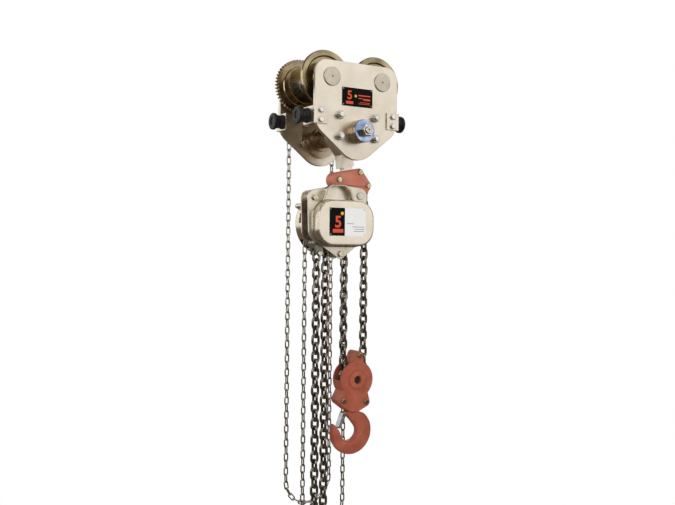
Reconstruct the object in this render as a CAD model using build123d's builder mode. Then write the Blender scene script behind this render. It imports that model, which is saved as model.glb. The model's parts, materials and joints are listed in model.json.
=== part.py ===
"""Geared beam trolley with the chain hoist that hangs from its load bar.

Millimetres. +X runs along the beam, +Y away from the operator, +Z up. The origin is on the
running surface of the beam's lower flange, under its web, midway between the two axles.
"""
from build123d import *
import os
from math import asin, atan2, cos, degrees, floor, hypot, pi, radians, sin, sqrt, tan

os.makedirs("parts", exist_ok=True)

# ---------------------------------------------------------------- shared clearances
fit = 0.04            # radial clearance of a turning shaft in its bore
seat = 0.02           # radial clearance of a part that is fixed in its bore
side_gap = 0.4        # axial gap between a turning face and its neighbour
link_gap = 0.4        # slack between two links of a chain

# ---------------------------------------------------------------- trolley: driving sizes
beam_half_width = 75.0        # half the width of the beam flange that the trolley is set for
flange_gap = 3.0              # side play between a wheel flange and the beam flange
tread_radius = 63.0
tread_width = 40.0
wheel_flange_radius = 88.4
wheel_flange_width = 10.0
axle_spacing = 186.4
plate_gap = 23.0              # from the outer face of a wheel flange to the side plate
plate_thickness = 12.0
plate_half_width = 152.0
plate_top = 114.0
plate_bottom = -191.0
top_corner_radius = 42.0
shoulder_radius = 62.0
shoulder_z = -62.0
toe_radius = 78.0
load_bar_z = -103.0
load_bar_radius = 20.0

wheel_inner = beam_half_width + flange_gap - tread_width
flange_inner = beam_half_width + flange_gap
flange_outer = flange_inner + wheel_flange_width
plate_inner = flange_outer + plate_gap
plate_outer = plate_inner + plate_thickness
axle_x = axle_spacing / 2
axle_z = tread_radius
sides = {"front": -1, "rear": 1}
ends = {"left": -1, "right": 1}

# wheel, axle and bearing
journal_radius = 15.0
bearing_radius = 31.0
bearing_width = 16.0
bearing_lip = 5.0
axle_body_radius = 22.0
axle_head_radius = 29.5
axle_head_height = 4.5
axle_washer_radius = 20.0
axle_washer_height = 4.0
axle_screw_size = 10.0

# geared drive on the rear wheels
drive_module = 3.5
wheel_teeth = 49
pinion_teeth = 12
gear_width = 16.0
gear_backlash = 0.45
drive_shaft_radius = 12.5
drive_bush_radius = 17.0
housing_radius = 25.0
housing_flange_radius = 46.0
housing_flange_height = 9.0
housing_length = 32.0

# gusset plate inside each side plate
gusset_thickness = 10.0
gusset_half_width = 76.0
gusset_top = -34.0
gusset_toe_radius = 52.0
gusset_boss_radius = 40.0
gusset_boss_height = 8.0
gusset_bolt_x = 65.0
gusset_bolt_high = -54.0
gusset_bolt_low = -120.0
gusset_bolt_size = 16.0
gusset_bolt_flats = 24.0
gusset_nut_height = 13.0
gusset_stud_end = 7.0

# load bar and its washers
spacer_radius = 36.0
spacer_width = 6.0
front_spacers = 7
rear_spacers = 2
bar_washer_radius = 35.0
bar_washer_height = 4.5
bar_stud_radius = 12.0
bar_nut_flats = 36.0
bar_nut_height = 20.0
bar_end = 5.0
inner_spacer_radius = 30.0

# bumpers
bumper_y_inset = 39.4         # from the outer face of the side plate to the bumper's axis
bumper_z = -59.0
bumper_length = 38.0
bumper_base_radius = 23.5
bumper_waist_radius = 21.0
bumper_end_radius = 27.0
bumper_recess_radius = 12.5
bumper_recess_depth = 2.5
bumper_stud_depth = 20.0
bracket_thickness = 5.0
bracket_height = 54.0
bracket_reach = 48.0
bracket_depth = 68.0
bracket_screw_pitch = 30.0
bracket_screw_inset = 19.0

# nameplates
trolley_plate_size = (112.0, 58.0)
trolley_plate_z = 6.0
hoist_plate_size = (137.0, 90.0)
nameplate_thickness = 1.2
rivet_radius = 2.2

# ---------------------------------------------------------------- chains
hand_wire = 5.0
hand_pitch = 24.0
hand_inner_width = 7.5
load_wire = 9.0
load_pitch = 27.0
load_inner_width = 12.8
trolley_pockets = 11
hoist_pockets = 10
sheave_pockets = 4
trolley_chain_pairs = 64      # pairs of links in each closed hand chain
hoist_chain_pairs = 49
load_chain_pairs = 63
trolley_chain_y = plate_outer + 53.0
hoist_chain_y = 64.0

# ---------------------------------------------------------------- hoist: driving sizes
hoist_x = -4.0
hoist_z = -388.0
frame_half_gap = 20.0
frame_plate = 5.0
frame_outer = frame_half_gap + frame_plate
cover_size = (210.0, 147.0)
cover_corner = 56.0
cover_depth = 41.0
cover_wall = 4.0
cover_x = hoist_x + 5.0
gear_offset = 50.0
fast_module = 2.0
fast_pinion_teeth = 12
fast_wheel_teeth = 38
slow_module = 2.5
slow_pinion_teeth = 12
slow_wheel_teeth = 28
hoist_backlash = 0.3
drive_pin_radius = 8.0
sheave_journal_radius = 20.0
sheave_bearing_radius = 29.0
sheave_bearing_width = 11.0
wheel_cover_radius = 105.0
wheel_cover_back = 84.0
wheel_cover_wall = 3.0
link_half_depth = 22.0
yoke_half_depth = 24.0
yoke_wall = 11.0
yoke_edge = 8.0
block_tilt = 6.5
sheave_radius = 38.5
block_z = -900.0
block_half_gap = 19.5
block_wall = 7.5


def finish(part, name):
    """Label a finished part and write its STEP file."""
    part.label = name
    export_step(part, f"parts/{name}.step")


def finish_group(solids, name):
    """Write several separate solids of one kind as one node."""
    finish(Compound(label=name, children=solids), name)


def wall(y):
    """Plane square to Y at y, seen from the operator's side: local x is +X, local y is +Z."""
    return Plane(origin=(0, y, 0), x_dir=(1, 0, 0), z_dir=(0, -1, 0))


def disc(x, z, radius, y_near, y_far, mode=Mode.ADD):
    """Add or cut a cylinder along Y in the part being built."""
    with BuildSketch(wall(y_far)) as profile:
        with Locations((x, z)):
            Circle(radius)
    extrude(profile.sketch, amount=y_far - y_near, mode=mode)


def brick(x_low, x_high, y_near, y_far, z_low, z_high, mode=Mode.ADD):
    """Add or cut a box between two corners in the part being built."""
    with BuildSketch(wall(y_far)) as profile:
        with Locations(((x_low + x_high) / 2, (z_low + z_high) / 2)):
            Rectangle(x_high - x_low, z_high - z_low)
    extrude(profile.sketch, amount=y_far - y_near, mode=mode)


def belt_slab(circles, y_near, y_far, mode=Mode.ADD):
    """Add or cut a slab along Y whose outline is a belt pulled tight round circles (x, z, radius)."""
    mid_x = sum(x for x, _, _ in circles) / len(circles)
    mid_z = sum(z for _, z, _ in circles) / len(circles)
    pulleys = sorted(circles, key=lambda pulley: atan2(pulley[1] - mid_z, pulley[0] - mid_x))
    leaving = []
    for (x0, z0, r0), (x1, z1, r1) in zip(pulleys, pulleys[1:] + pulleys[:1]):
        gap = hypot(x1 - x0, z1 - z0)
        lean = (r0 - r1) / gap
        out = sqrt(1 - lean**2)
        leaving.append(((x1 - x0) / gap * lean + (z1 - z0) / gap * out,
                        (z1 - z0) / gap * lean - (x1 - x0) / gap * out))
    with BuildSketch(wall(y_far)) as profile:
        with BuildLine():
            for index, (x, z, radius) in enumerate(pulleys):
                after = leaving[index]
                before = leaving[index - 1]
                start = atan2(before[1], before[0])
                turn = (atan2(after[1], after[0]) - start) % (2 * pi)
                ThreePointArc(
                    *[(x + radius * cos(start + turn * share), z + radius * sin(start + turn * share))
                      for share in (0, 0.5, 1)]
                )
                x1, z1, r1 = pulleys[(index + 1) % len(pulleys)]
                Line((x + radius * after[0], z + radius * after[1]),
                     (x1 + r1 * after[0], z1 + r1 * after[1]))
        make_face()
    extrude(profile.sketch, amount=y_far - y_near, mode=mode)


def span(side, near, far):
    """Order two distances from the beam's web as (low y, high y) on one side of it."""
    return tuple(sorted((side * near, side * far)))


def ring(x, z, inner, outer, y_near, y_far):
    """A plain ring along Y."""
    with BuildPart() as made:
        disc(x, z, outer, y_near, y_far)
        disc(x, z, inner, y_near, y_far, Mode.SUBTRACT)
    return made.part


def bolt(at, facing, size, length, flats, head, plane_x=(1, 0, 0)):
    """Hexagon bolt: `at` is the centre of the face under its head, which faces `facing`."""
    away = tuple(-value for value in facing)
    with BuildPart() as made:
        with BuildSketch(Plane(origin=at, x_dir=plane_x, z_dir=facing)):
            RegularPolygon(flats / 2, 6, major_radius=False)
        extrude(amount=head)
        chamfer(made.faces().sort_by(Axis(at, facing))[-1].edges(), head * 0.12)
        with BuildSketch(Plane(origin=at, x_dir=plane_x, z_dir=away)):
            Circle(size / 2)
        extrude(amount=length)
    return made.part


def nut(at, facing, size, flats, height, plane_x=(1, 0, 0)):
    """Hexagon nut that lies on the face at `at` and stands out along `facing`."""
    with BuildPart() as made:
        with BuildSketch(Plane(origin=at, x_dir=plane_x, z_dir=facing)):
            RegularPolygon(flats / 2, 6, major_radius=False)
            Circle(size / 2 + seat, mode=Mode.SUBTRACT)
        extrude(amount=height)
        outline = made.faces().sort_by(Axis(at, facing))[-1].outer_wire()
        chamfer(outline.edges(), height * 0.12)
    return made.part


def rivet(x, z, y, radius):
    """Round-headed drive rivet on a face that looks towards the operator."""
    with BuildPart() as made:
        disc(x, z, radius, y - radius * 0.6, y)
        fillet(made.faces().sort_by(Axis.Y)[0].edges(), radius * 0.5)
    return made.part


def gear_points(module, teeth, turn, addendum, dedendum, backlash):
    """Corners of a spur gear with involute flanks. Tooth 0 is centred on the angle `turn`."""
    pitch_radius = module * teeth / 2
    base = pitch_radius * cos(radians(20))
    tip = pitch_radius + addendum * module
    root = pitch_radius - dedendum * module
    half_tooth = pi / 2 / teeth - backlash / 2 / pitch_radius / 2
    roll_at_pitch = tan(radians(20)) - radians(20)
    flank = []
    start = max(base, root)
    for step in range(4):
        radius = start + (tip - start) * step / 3
        pressure = sqrt(max((radius / base) ** 2 - 1, 0))
        roll = pressure - atan2(pressure, 1)
        flank.append((radius, half_tooth + roll_at_pitch - roll))
    if root < base:
        flank.insert(0, (root, flank[0][1]))
    points = []
    for tooth in range(teeth):
        centre = turn + 2 * pi * tooth / teeth
        for radius, angle in flank:
            points.append((radius * cos(centre - angle), radius * sin(centre - angle)))
        for radius, angle in reversed(flank):
            points.append((radius * cos(centre + angle), radius * sin(centre + angle)))
    return points


def mesh_turn(turn, teeth, driven_teeth, direction):
    """Angle of a driven gear whose gap meets the driver's tooth in `direction` (radians)."""
    phase = (direction - turn) / (2 * pi / teeth)
    phase -= floor(phase)
    return direction + pi + (phase + 0.5) * 2 * pi / driven_teeth


def gear(x, z, points, y_near, y_far):
    """Add a gear blank along Y to the part being built."""
    with BuildSketch(wall(y_far)) as profile:
        with Locations((x, z)):
            Polygon(*points, align=None)
    extrude(profile.sketch, amount=y_far - y_near)


# ---------------------------------------------------------------- side plates and gussets
plate_circles = [
    (x * (plate_half_width - top_corner_radius), plate_top - top_corner_radius, top_corner_radius)
    for x in (-1, 1)
] + [
    (x * (plate_half_width - shoulder_radius), shoulder_z, shoulder_radius) for x in (-1, 1)
] + [(0, plate_bottom + toe_radius, toe_radius)]

gusset_corner = 12.0
gusset_circles = [
    (x * (gusset_half_width - gusset_corner), z, gusset_corner)
    for x in (-1, 1)
    for z in (gusset_top - gusset_corner, gusset_bolt_low + 4)
] + [(0, load_bar_z - 10, gusset_toe_radius)]

gusset_bolts = [
    (x * gusset_bolt_x, z) for x in (-1, 1) for z in (gusset_bolt_high, gusset_bolt_low)
]
bracket_top = bumper_z + bracket_height / 2
bracket_screws = [
    (x * (plate_half_width - bracket_screw_inset), bumper_z + z * bracket_screw_pitch / 2)
    for x in (-1, 1)
    for z in (-1, 1)
]
bracket_screw_size = 10.0
drive_z = axle_z - sqrt(
    (drive_module * (wheel_teeth + pinion_teeth) / 2) ** 2 - axle_x**2
)
housing_bolt_circle = 35.0
housing_bolts = [
    (housing_bolt_circle * cos(radians(angle)), drive_z + housing_bolt_circle * sin(radians(angle)))
    for angle in (90, 210, 330)
]
housing_bolt_size = 8.0

for name, side in sides.items():
    y_near, y_far = span(side, plate_inner, plate_outer)
    with BuildPart() as side_plate:
        belt_slab(plate_circles, y_near, y_far)
        fillet(side_plate.faces().sort_by(Axis.Y)[0].outer_wire().edges(), 1.5)
        for x in (-axle_x, axle_x):
            disc(x, axle_z, axle_body_radius + seat, y_near, y_far, Mode.SUBTRACT)
        disc(0, load_bar_z, load_bar_radius + seat, y_near, y_far, Mode.SUBTRACT)
        for x, z in gusset_bolts:
            disc(x, z, gusset_bolt_size / 2 + seat, y_near, y_far, Mode.SUBTRACT)
        for x, z in bracket_screws:
            disc(x, z, bracket_screw_size / 2 + seat, y_near, y_far, Mode.SUBTRACT)
        if name == "rear":
            disc(0, drive_z, drive_bush_radius + seat, y_near, y_far, Mode.SUBTRACT)
            for x, z in housing_bolts:
                disc(x, z, housing_bolt_size / 2 + seat, y_near, y_far, Mode.SUBTRACT)
    finish(side_plate.part, f"{name}_side_plate")

    y_near, y_far = span(side, plate_inner - gusset_thickness, plate_inner)
    boss_low, boss_high = span(
        side, plate_inner - gusset_thickness - gusset_boss_height, plate_inner
    )
    with BuildPart() as gusset:
        belt_slab(gusset_circles, y_near, y_far)
        disc(0, load_bar_z, gusset_boss_radius, boss_low, boss_high)
        disc(0, load_bar_z, load_bar_radius + seat, boss_low, boss_high, Mode.SUBTRACT)
        for x, z in gusset_bolts:
            disc(x, z, gusset_bolt_size / 2 + seat, y_near, y_far, Mode.SUBTRACT)
    finish(gusset.part, f"{name}_gusset_plate")

gusset_face = plate_inner - gusset_thickness
trolley_fasteners = []
for side in sides.values():
    for x, z in gusset_bolts:
        length = gusset_thickness + plate_thickness + gusset_nut_height + gusset_stud_end
        trolley_fasteners.append(
            bolt((x, side * gusset_face, z), (0, -side, 0), gusset_bolt_size, length,
                 gusset_bolt_flats, 10.0)
        )
        trolley_fasteners.append(
            nut((x, side * plate_outer, z), (0, side, 0), gusset_bolt_size,
                gusset_bolt_flats, gusset_nut_height)
        )

# ---------------------------------------------------------------- wheels, axles, bearings
bearing_starts = (wheel_inner + 1.0, flange_outer - bearing_width - 1.0)


def wheel_body(x, side, outer):
    """Add the tread, flange and hub of one wheel, with its bearing bore, along Y."""
    profile_top = [
        (tread_radius - 2.0, wheel_inner),
        (tread_radius, wheel_inner + 3.0),
        (tread_radius, flange_inner - 2.5),
        (tread_radius + 2.5, flange_inner),
        (outer - 1.5, flange_inner),
        (outer, flange_inner + 1.5),
        (outer, flange_outer - 3.0),
        (outer - 3.0, flange_outer),
        (tread_radius + 8.0, flange_outer),
        (tread_radius + 4.0, flange_outer - 4.0),
        (bearing_radius + 14.0, flange_outer - 4.0),
        (bearing_radius + 10.0, flange_outer),
        (bearing_radius, flange_outer),
        (bearing_radius, flange_outer - bearing_width - 1.0),
        (bearing_radius - bearing_lip, flange_outer - bearing_width - 1.0),
        (bearing_radius - bearing_lip, wheel_inner + bearing_width + 1.0),
        (bearing_radius, wheel_inner + bearing_width + 1.0),
        (bearing_radius, wheel_inner),
    ]
    centre_line = Axis((x, 0, axle_z), (0, 1, 0))
    with BuildSketch(Plane(origin=(x, 0, axle_z), x_dir=(1, 0, 0), z_dir=(0, 0, 1))) as profile:
        Polygon(*[(radius, side * depth) for radius, depth in profile_top], align=None)
    revolve(profile.sketch, axis=centre_line)


drive_turn = radians(90)
for name, side in sides.items():
    for end_name, end in ends.items():
        x = end * axle_x
        label = f"{name}_{end_name}_wheel"
        with BuildPart() as wheel:
            if name == "front":
                wheel_body(x, side, wheel_flange_radius)
            else:
                wheel_body(x, side, drive_module * wheel_teeth / 2 - 1.3 * drive_module)
                direction = atan2(axle_z - drive_z, x)
                turn = mesh_turn(drive_turn, pinion_teeth, wheel_teeth, direction)
                teeth = gear_points(drive_module, wheel_teeth, turn, 0.75, 1.2, gear_backlash)
                gear(x, axle_z, teeth, flange_inner, flange_inner + gear_width)
                disc(x, axle_z, tread_radius + 4.0, flange_outer, flange_inner + gear_width,
                     Mode.SUBTRACT)
                disc(x, axle_z, bearing_radius, flange_inner, flange_inner + gear_width,
                     Mode.SUBTRACT)
        finish(wheel.part, label)

axles = []
bearings = []
washers = []
axle_end = wheel_inner - side_gap
for side in sides.values():
    for x in (-axle_x, axle_x):
        with BuildPart() as axle:
            disc(x, axle_z, axle_head_radius, *span(side, plate_outer, plate_outer + axle_head_height))
            outer_face = axle.faces().sort_by(Axis.Y)[-1 if side > 0 else 0]
            chamfer(outer_face.edges(), 1.0)
            disc(x, axle_z, axle_body_radius, *span(side, flange_outer + side_gap, plate_outer))
            disc(x, axle_z, journal_radius, *span(side, axle_end, flange_outer + side_gap))
            disc(x, axle_z, 2.5, *span(side, plate_outer, plate_outer + axle_head_height),
                 Mode.SUBTRACT)
            disc(x, axle_z, axle_screw_size / 2 + seat, *span(side, axle_end, axle_end + 25.0),
                 Mode.SUBTRACT)
        axles.append(axle.part)
        for start in bearing_starts:
            bearings.append(
                ring(x, axle_z, journal_radius + seat, bearing_radius - fit,
                     *span(side, start, start + bearing_width))
            )
        low, high = span(side, axle_end - axle_washer_height, axle_end)
        washers.append(ring(x, axle_z, axle_screw_size / 2 + seat, axle_washer_radius, low, high))
        trolley_fasteners.append(
            bolt((x, side * (axle_end - axle_washer_height), axle_z), (0, -side, 0),
                 axle_screw_size, 22.0, 17.0, 6.0)
        )
finish_group(axles, "wheel_axles")
finish_group(bearings, "wheel_bearings")

# ---------------------------------------------------------------- load bar and its washers
front_stack = front_spacers * spacer_width
rear_stack = rear_spacers * spacer_width
front_nut_seat = plate_outer + front_stack + bar_washer_height
rear_nut_seat = plate_outer + rear_stack + bar_washer_height
with BuildPart() as load_bar:
    disc(0, load_bar_z, load_bar_radius, -(plate_outer + front_stack), plate_outer + rear_stack)
    stud_front = -(front_nut_seat + bar_nut_height + bar_end)
    stud_rear = rear_nut_seat + bar_nut_height + bar_end
    disc(0, load_bar_z, bar_stud_radius, stud_front, stud_rear)
    chamfer(load_bar.faces().sort_by(Axis.Y)[0].edges(), 1.5)
    chamfer(load_bar.faces().sort_by(Axis.Y)[-1].edges(), 1.5)
    disc(0, load_bar_z, 3.0, stud_front, stud_front + 8.0, Mode.SUBTRACT)
finish(load_bar.part, "load_bar")

spacers = []
for side, count in ((-1, front_spacers), (1, rear_spacers)):
    for index in range(count):
        start = plate_outer + index * spacer_width
        low, high = span(side, start, start + spacer_width)
        with BuildPart() as spacer:
            disc(0, load_bar_z, spacer_radius, low, high)
            chamfer(spacer.edges().filter_by(GeomType.CIRCLE), 0.8)
            disc(0, load_bar_z, load_bar_radius + seat, low, high, Mode.SUBTRACT)
        spacers.append(spacer.part)

for side, nut_seat in ((-1, front_nut_seat), (1, rear_nut_seat)):
    low, high = span(side, nut_seat - bar_washer_height, nut_seat)
    washers.append(ring(0, load_bar_z, bar_stud_radius + seat, bar_washer_radius, low, high))
    trolley_fasteners.append(
        nut((0, side * nut_seat, load_bar_z), (0, side, 0), 2 * bar_stud_radius,
            bar_nut_flats, bar_nut_height)
    )
finish_group(washers, "blue_washers")

gusset_boss_face = plate_inner - gusset_thickness - gusset_boss_height
spacers += [
    ring(0, load_bar_z, load_bar_radius + seat, inner_spacer_radius,
         *span(side, link_half_depth + side_gap, gusset_boss_face))
    for side in sides.values()
]
finish_group(spacers, "load_bar_spacers")

# ---------------------------------------------------------------- bumpers
bumper_y = plate_outer - bumper_y_inset
brackets = []
bumpers = []
leg_face = plate_half_width + bracket_thickness + 1.0
bumper_bolt_size = 10.0
for side in sides.values():
    for x in (-1, 1):
        with BuildPart() as bracket:
            low, high = span(side, plate_outer, plate_outer + bracket_thickness)
            x_low, x_high = sorted((x * (leg_face - bracket_reach), x * leg_face))
            z_low = bumper_z - bracket_height / 2
            brick(x_low, x_high, low, high, z_low, bracket_top)
            leg_low, leg_high = span(
                side, plate_outer + bracket_thickness - bracket_depth, plate_outer
            )
            x_low, x_high = sorted((x * (leg_face - bracket_thickness), x * leg_face))
            brick(x_low, x_high, leg_low, leg_high, z_low, bracket_top)
            corner = bracket.edges().filter_by(Axis.Z).sort_by(
                lambda edge: -abs(edge.center().X) - abs(edge.center().Y)
            )[0]
            fillet(corner, 4.0)
            for sx, sz in bracket_screws:
                if sx * x > 0:
                    disc(sx, sz, bracket_screw_size / 2 + seat, low, high, Mode.SUBTRACT)
            with BuildSketch(Plane(origin=(x * leg_face, side * bumper_y, bumper_z),
                                   x_dir=(0, 1, 0), z_dir=(x, 0, 0))):
                Circle(bumper_bolt_size / 2 + seat)
            extrude(amount=-bracket_thickness, mode=Mode.SUBTRACT)
        brackets.append(bracket.part)

        with BuildPart() as bumper:
            with BuildSketch(Plane(origin=(x * leg_face, side * bumper_y, bumper_z),
                                   x_dir=(x, 0, 0), z_dir=(0, 1, 0))):
                with BuildLine():
                    base = Line((0, bumper_bolt_size / 2 + seat), (0, bumper_base_radius))
                    lip = Line(base @ 1, (3.0, bumper_base_radius))
                    waist = ThreePointArc(
                        lip @ 1, (bumper_length * 0.45, bumper_waist_radius),
                        (bumper_length - 9.0, bumper_end_radius)
                    )
                    rim = Line(waist @ 1, (bumper_length - 3.0, bumper_end_radius))
                    nose = ThreePointArc(
                        rim @ 1, (bumper_length - 0.9, bumper_end_radius - 0.9),
                        (bumper_length, bumper_end_radius - 3.0)
                    )
                    face = Line(nose @ 1, (bumper_length, bumper_recess_radius))
                    Polyline(
                        face @ 1,
                        (bumper_length - bumper_recess_depth, bumper_recess_radius),
                        (bumper_length - bumper_recess_depth, 0),
                        (bumper_stud_depth, 0),
                        (bumper_stud_depth, bumper_bolt_size / 2 + seat),
                        base @ 0,
                    )
                make_face()
            revolve(axis=Axis((0, side * bumper_y, bumper_z), (1, 0, 0)))
        bumpers.append(bumper.part)
        with BuildPart() as bumper_stud:
            with BuildSketch(Plane(origin=(x * (leg_face + bumper_stud_depth), side * bumper_y,
                                           bumper_z), x_dir=(0, 1, 0), z_dir=(-x, 0, 0))):
                Circle(bumper_bolt_size / 2)
            extrude(amount=bumper_stud_depth + bracket_thickness + 11.0)
        trolley_fasteners.append(bumper_stud.part)
        trolley_fasteners.append(
            nut((x * (leg_face - bracket_thickness), side * bumper_y, bumper_z), (-x, 0, 0),
                bumper_bolt_size, 17.0, 8.0, plane_x=(0, 1, 0))
        )
    for sx, sz in bracket_screws:
        trolley_fasteners.append(
            bolt((sx, side * (plate_outer + bracket_thickness), sz), (0, side, 0),
                 bracket_screw_size, bracket_thickness + plate_thickness, 17.0, 6.5)
        )
finish_group(brackets, "bumper_brackets")
finish_group(bumpers, "bumpers")

# ---------------------------------------------------------------- trolley nameplate
plate_face = -(plate_outer + nameplate_thickness)
with BuildPart() as trolley_nameplate:
    with BuildSketch(wall(-plate_outer)):
        with Locations((0, trolley_plate_z)):
            RectangleRounded(*trolley_plate_size, 2.5)
    extrude(amount=nameplate_thickness)
finish(trolley_nameplate.part, "trolley_nameplate")
finish_group(
    [
        rivet(x * (trolley_plate_size[0] / 2 - 4.5),
              trolley_plate_z + z * (trolley_plate_size[1] / 2 - 4.5), plate_face, rivet_radius)
        for x in (-1, 1) for z in (-1, 1)
    ],
    "trolley_nameplate_rivets",
)


# ---------------------------------------------------------------- chain paths and links
def chord_walk(point, start, chords, step=0.6):
    """Walk along point(s) by the given straight-line distances and return each s reached."""
    reached = [start]
    for chord in chords:
        s = reached[-1]
        x0, z0 = point(s)

        def distance(value):
            x1, z1 = point(value)
            return hypot(x1 - x0, z1 - z0)

        high = s + chord * 0.8
        while distance(high) < chord:
            high += step
        low = high - step
        for _ in range(40):
            middle = (low + high) / 2
            if distance(middle) < chord:
                low = middle
            else:
                high = middle
        reached.append(high)
    return reached


def route(pieces):
    """Turn ("line", start, end) and ("arc", centre, radius, from, to) pieces into point(s)."""
    lengths = []
    for piece in pieces:
        if piece[0] == "line":
            lengths.append(hypot(piece[2][0] - piece[1][0], piece[2][1] - piece[1][1]))
        else:
            lengths.append(abs(piece[4] - piece[3]) * piece[2])

    def point(s):
        index = 0
        while index < len(pieces) - 1 and s > lengths[index]:
            s -= lengths[index]
            index += 1
        piece = pieces[index]
        if piece[0] == "line":
            share = s / lengths[index]
            (x0, z0), (x1, z1) = piece[1], piece[2]
            return x0 + (x1 - x0) * share, z0 + (z1 - z0) * share
        centre, radius, first, last = piece[1:]
        angle = first + (last - first) * s / lengths[index]
        return centre[0] + radius * cos(angle), centre[1] + radius * sin(angle)

    return point, sum(lengths)


def solve(function, low, high):
    """Root of a rising function between low and high."""
    for _ in range(50):
        middle = (low + high) / 2
        if function(middle) < 0:
            low = middle
        else:
            high = middle
    return (low + high) / 2


def wheel_radius(pitch, wire, pockets):
    """Radius of the circle that the joints of a chain lie on round a pocket wheel."""
    short, long = pitch - wire, pitch + wire
    return solve(
        lambda radius: pi / pockets - asin(short / 2 / radius) - asin(long / 2 / radius),
        long * 0.51, long * pockets
    )


def chain_link(pitch, wire, inner_width):
    """One link round the origin, long along local X, lying in its XY plane."""
    bend = (inner_width + wire) / 2
    straight = pitch / 2 + wire / 2 - bend
    with BuildPart() as link:
        with BuildLine() as loop:
            top = Line((-straight, bend), (straight, bend))
            right = ThreePointArc(top @ 1, (straight + bend, 0), (straight, -bend))
            bottom = Line(right @ 1, (-straight, -bend))
            ThreePointArc(bottom @ 1, (-straight - bend, 0), top @ 0)
        with BuildSketch(Plane(origin=(0, bend, 0), x_dir=(0, 1, 0), z_dir=(1, 0, 0))):
            Circle((wire - link_gap) / 2)
        sweep(path=loop.line)
    return link.part


def place_links(link, points, y, standing_first=True):
    """Copies of one link from joint to joint, every other one turned a quarter turn."""
    placed = []
    for index in range(len(points) - 1):
        (x0, z0), (x1, z1) = points[index], points[index + 1]
        length = hypot(x1 - x0, z1 - z0)
        along = Vector((x1 - x0) / length, 0, (z1 - z0) / length)
        standing = (index % 2 == 0) == standing_first
        across = Vector(0, 1, 0)
        normal = across if standing else along.cross(across)
        centre = Vector((x0 + x1) / 2, y, (z0 + z1) / 2)
        placed.append(link.moved(Location(Plane(origin=centre, x_dir=along, z_dir=normal))))
    return placed


def closed_loop(centre, radius, pitch, wire, pairs):
    """Joints of a closed hand chain over a wheel: the leg length is what makes it close."""
    chords = [pitch - wire, pitch + wire] * pairs

    def pieces(leg):
        x, z = centre
        return [
            ("arc", (x, z), radius, pi, 0),
            ("line", (x + radius, z), (x + radius, z - leg)),
            ("arc", (x, z - leg), radius, 0, -pi),
            ("line", (x - radius, z - leg), (x - radius, z)),
        ]

    def slack(leg):
        point, length = route(pieces(leg))
        return length - chord_walk(point, 0, chords)[-1]

    rough = pairs * pitch - pi * radius
    leg = solve(slack, rough * 0.9, rough * 1.1)
    point, length = route(pieces(leg))
    return [point(s) for s in chord_walk(point, 0, chords)]


def hand_wheel(x, z, y, radius, pockets, first_standing, hub_radius, bore, hub_near, hub_far):
    """Add a pocket wheel for the hand chain, with a web, a hub and a bore."""
    flange = radius + 14.0
    slot = radius - hand_inner_width / 2 - hand_wire - 2.0
    floor_radius = radius * cos(asin((hand_pitch + hand_wire) / 2 / radius)) - hand_wire / 2 - 0.7
    half_slot = hand_wire / 2 + 1.0
    half_floor = hand_inner_width / 2 + hand_wire + 0.9
    profile = [
        (slot - 7.0, -half_floor - 1.0),
        (floor_radius - 4.0, -half_floor - 4.5),
        (flange - 3.0, -half_floor - 6.0),
        (flange, -half_floor - 5.0),
        (radius + 3.0, -half_floor),
        (floor_radius, -half_floor),
        (floor_radius, -half_slot),
        (slot, -half_slot),
    ]
    outline = profile + [(r, -d) for r, d in reversed(profile)]
    with BuildSketch(Plane(origin=(x, y, z), x_dir=(1, 0, 0), z_dir=(0, 0, 1))) as profile:
        Polygon(*outline, align=None)
    revolve(profile.sketch, axis=Axis((x, 0, z), (0, 1, 0)))
    lug_radius = (floor_radius + radius + 3.0) / 2
    lug_height = radius + 3.0 - floor_radius + 1.0
    for pocket in range(pockets):
        angle = first_standing + 2 * pi * pocket / pockets
        for low, high in ((-half_floor - 0.5, -half_slot), (half_slot, half_floor + 0.5)):
            with BuildSketch(wall(y + high)) as lug:
                with Locations(Location((x + lug_radius * cos(angle),
                                         z + lug_radius * sin(angle), 0), (0, 0, degrees(angle)))):
                    Rectangle(lug_height, 8.0)
            extrude(lug.sketch, amount=high - low)
    disc(x, z, slot - 4.0, y - 4.0, y + 4.0)
    with BuildSketch(wall(y + 4.0)) as windows:
        with Locations((x, z)):
            with PolarLocations((slot + hub_radius) / 2, 6):
                Circle((slot - hub_radius) * 0.26)
    extrude(windows.sketch, amount=8.0, mode=Mode.SUBTRACT)
    disc(x, z, hub_radius, hub_near, hub_far)
    disc(x, z, bore, min(hub_near, y - half_floor - 8.0), max(hub_far, y + half_floor + 8.0),
         Mode.SUBTRACT)


hand_link = chain_link(hand_pitch, hand_wire, hand_inner_width)
load_link = chain_link(load_pitch, load_wire, load_inner_width)

# ---------------------------------------------------------------- trolley drive and hand chain
trolley_wheel_radius = wheel_radius(hand_pitch, hand_wire, trolley_pockets)
trolley_joints = closed_loop(
    (0, drive_z), trolley_wheel_radius, hand_pitch, hand_wire, trolley_chain_pairs
)
finish_group(place_links(hand_link, trolley_joints, trolley_chain_y), "trolley_hand_chain")

housing_face = plate_outer + housing_flange_height
housing_end = plate_outer + housing_length
pinion_near = flange_inner - 1.0
pinion_far = flange_inner + gear_width + 1.0
wheel_hub_near = housing_end + side_gap
wheel_hub_far = trolley_chain_y + 16.0
shaft_thread_radius = 9.0
with BuildPart() as drive_shaft:
    teeth = gear_points(drive_module, pinion_teeth, drive_turn, 0.9, 1.0, gear_backlash)
    gear(0, drive_z, teeth, pinion_near, pinion_far)
    disc(0, drive_z, 15.0, pinion_far, plate_inner - side_gap)
    disc(0, drive_z, drive_shaft_radius, pinion_near, wheel_hub_far)
    disc(0, drive_z, shaft_thread_radius, wheel_hub_far, wheel_hub_far + 16.0)
    chamfer(drive_shaft.faces().sort_by(Axis.Y)[-1].edges(), 1.0)

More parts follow.
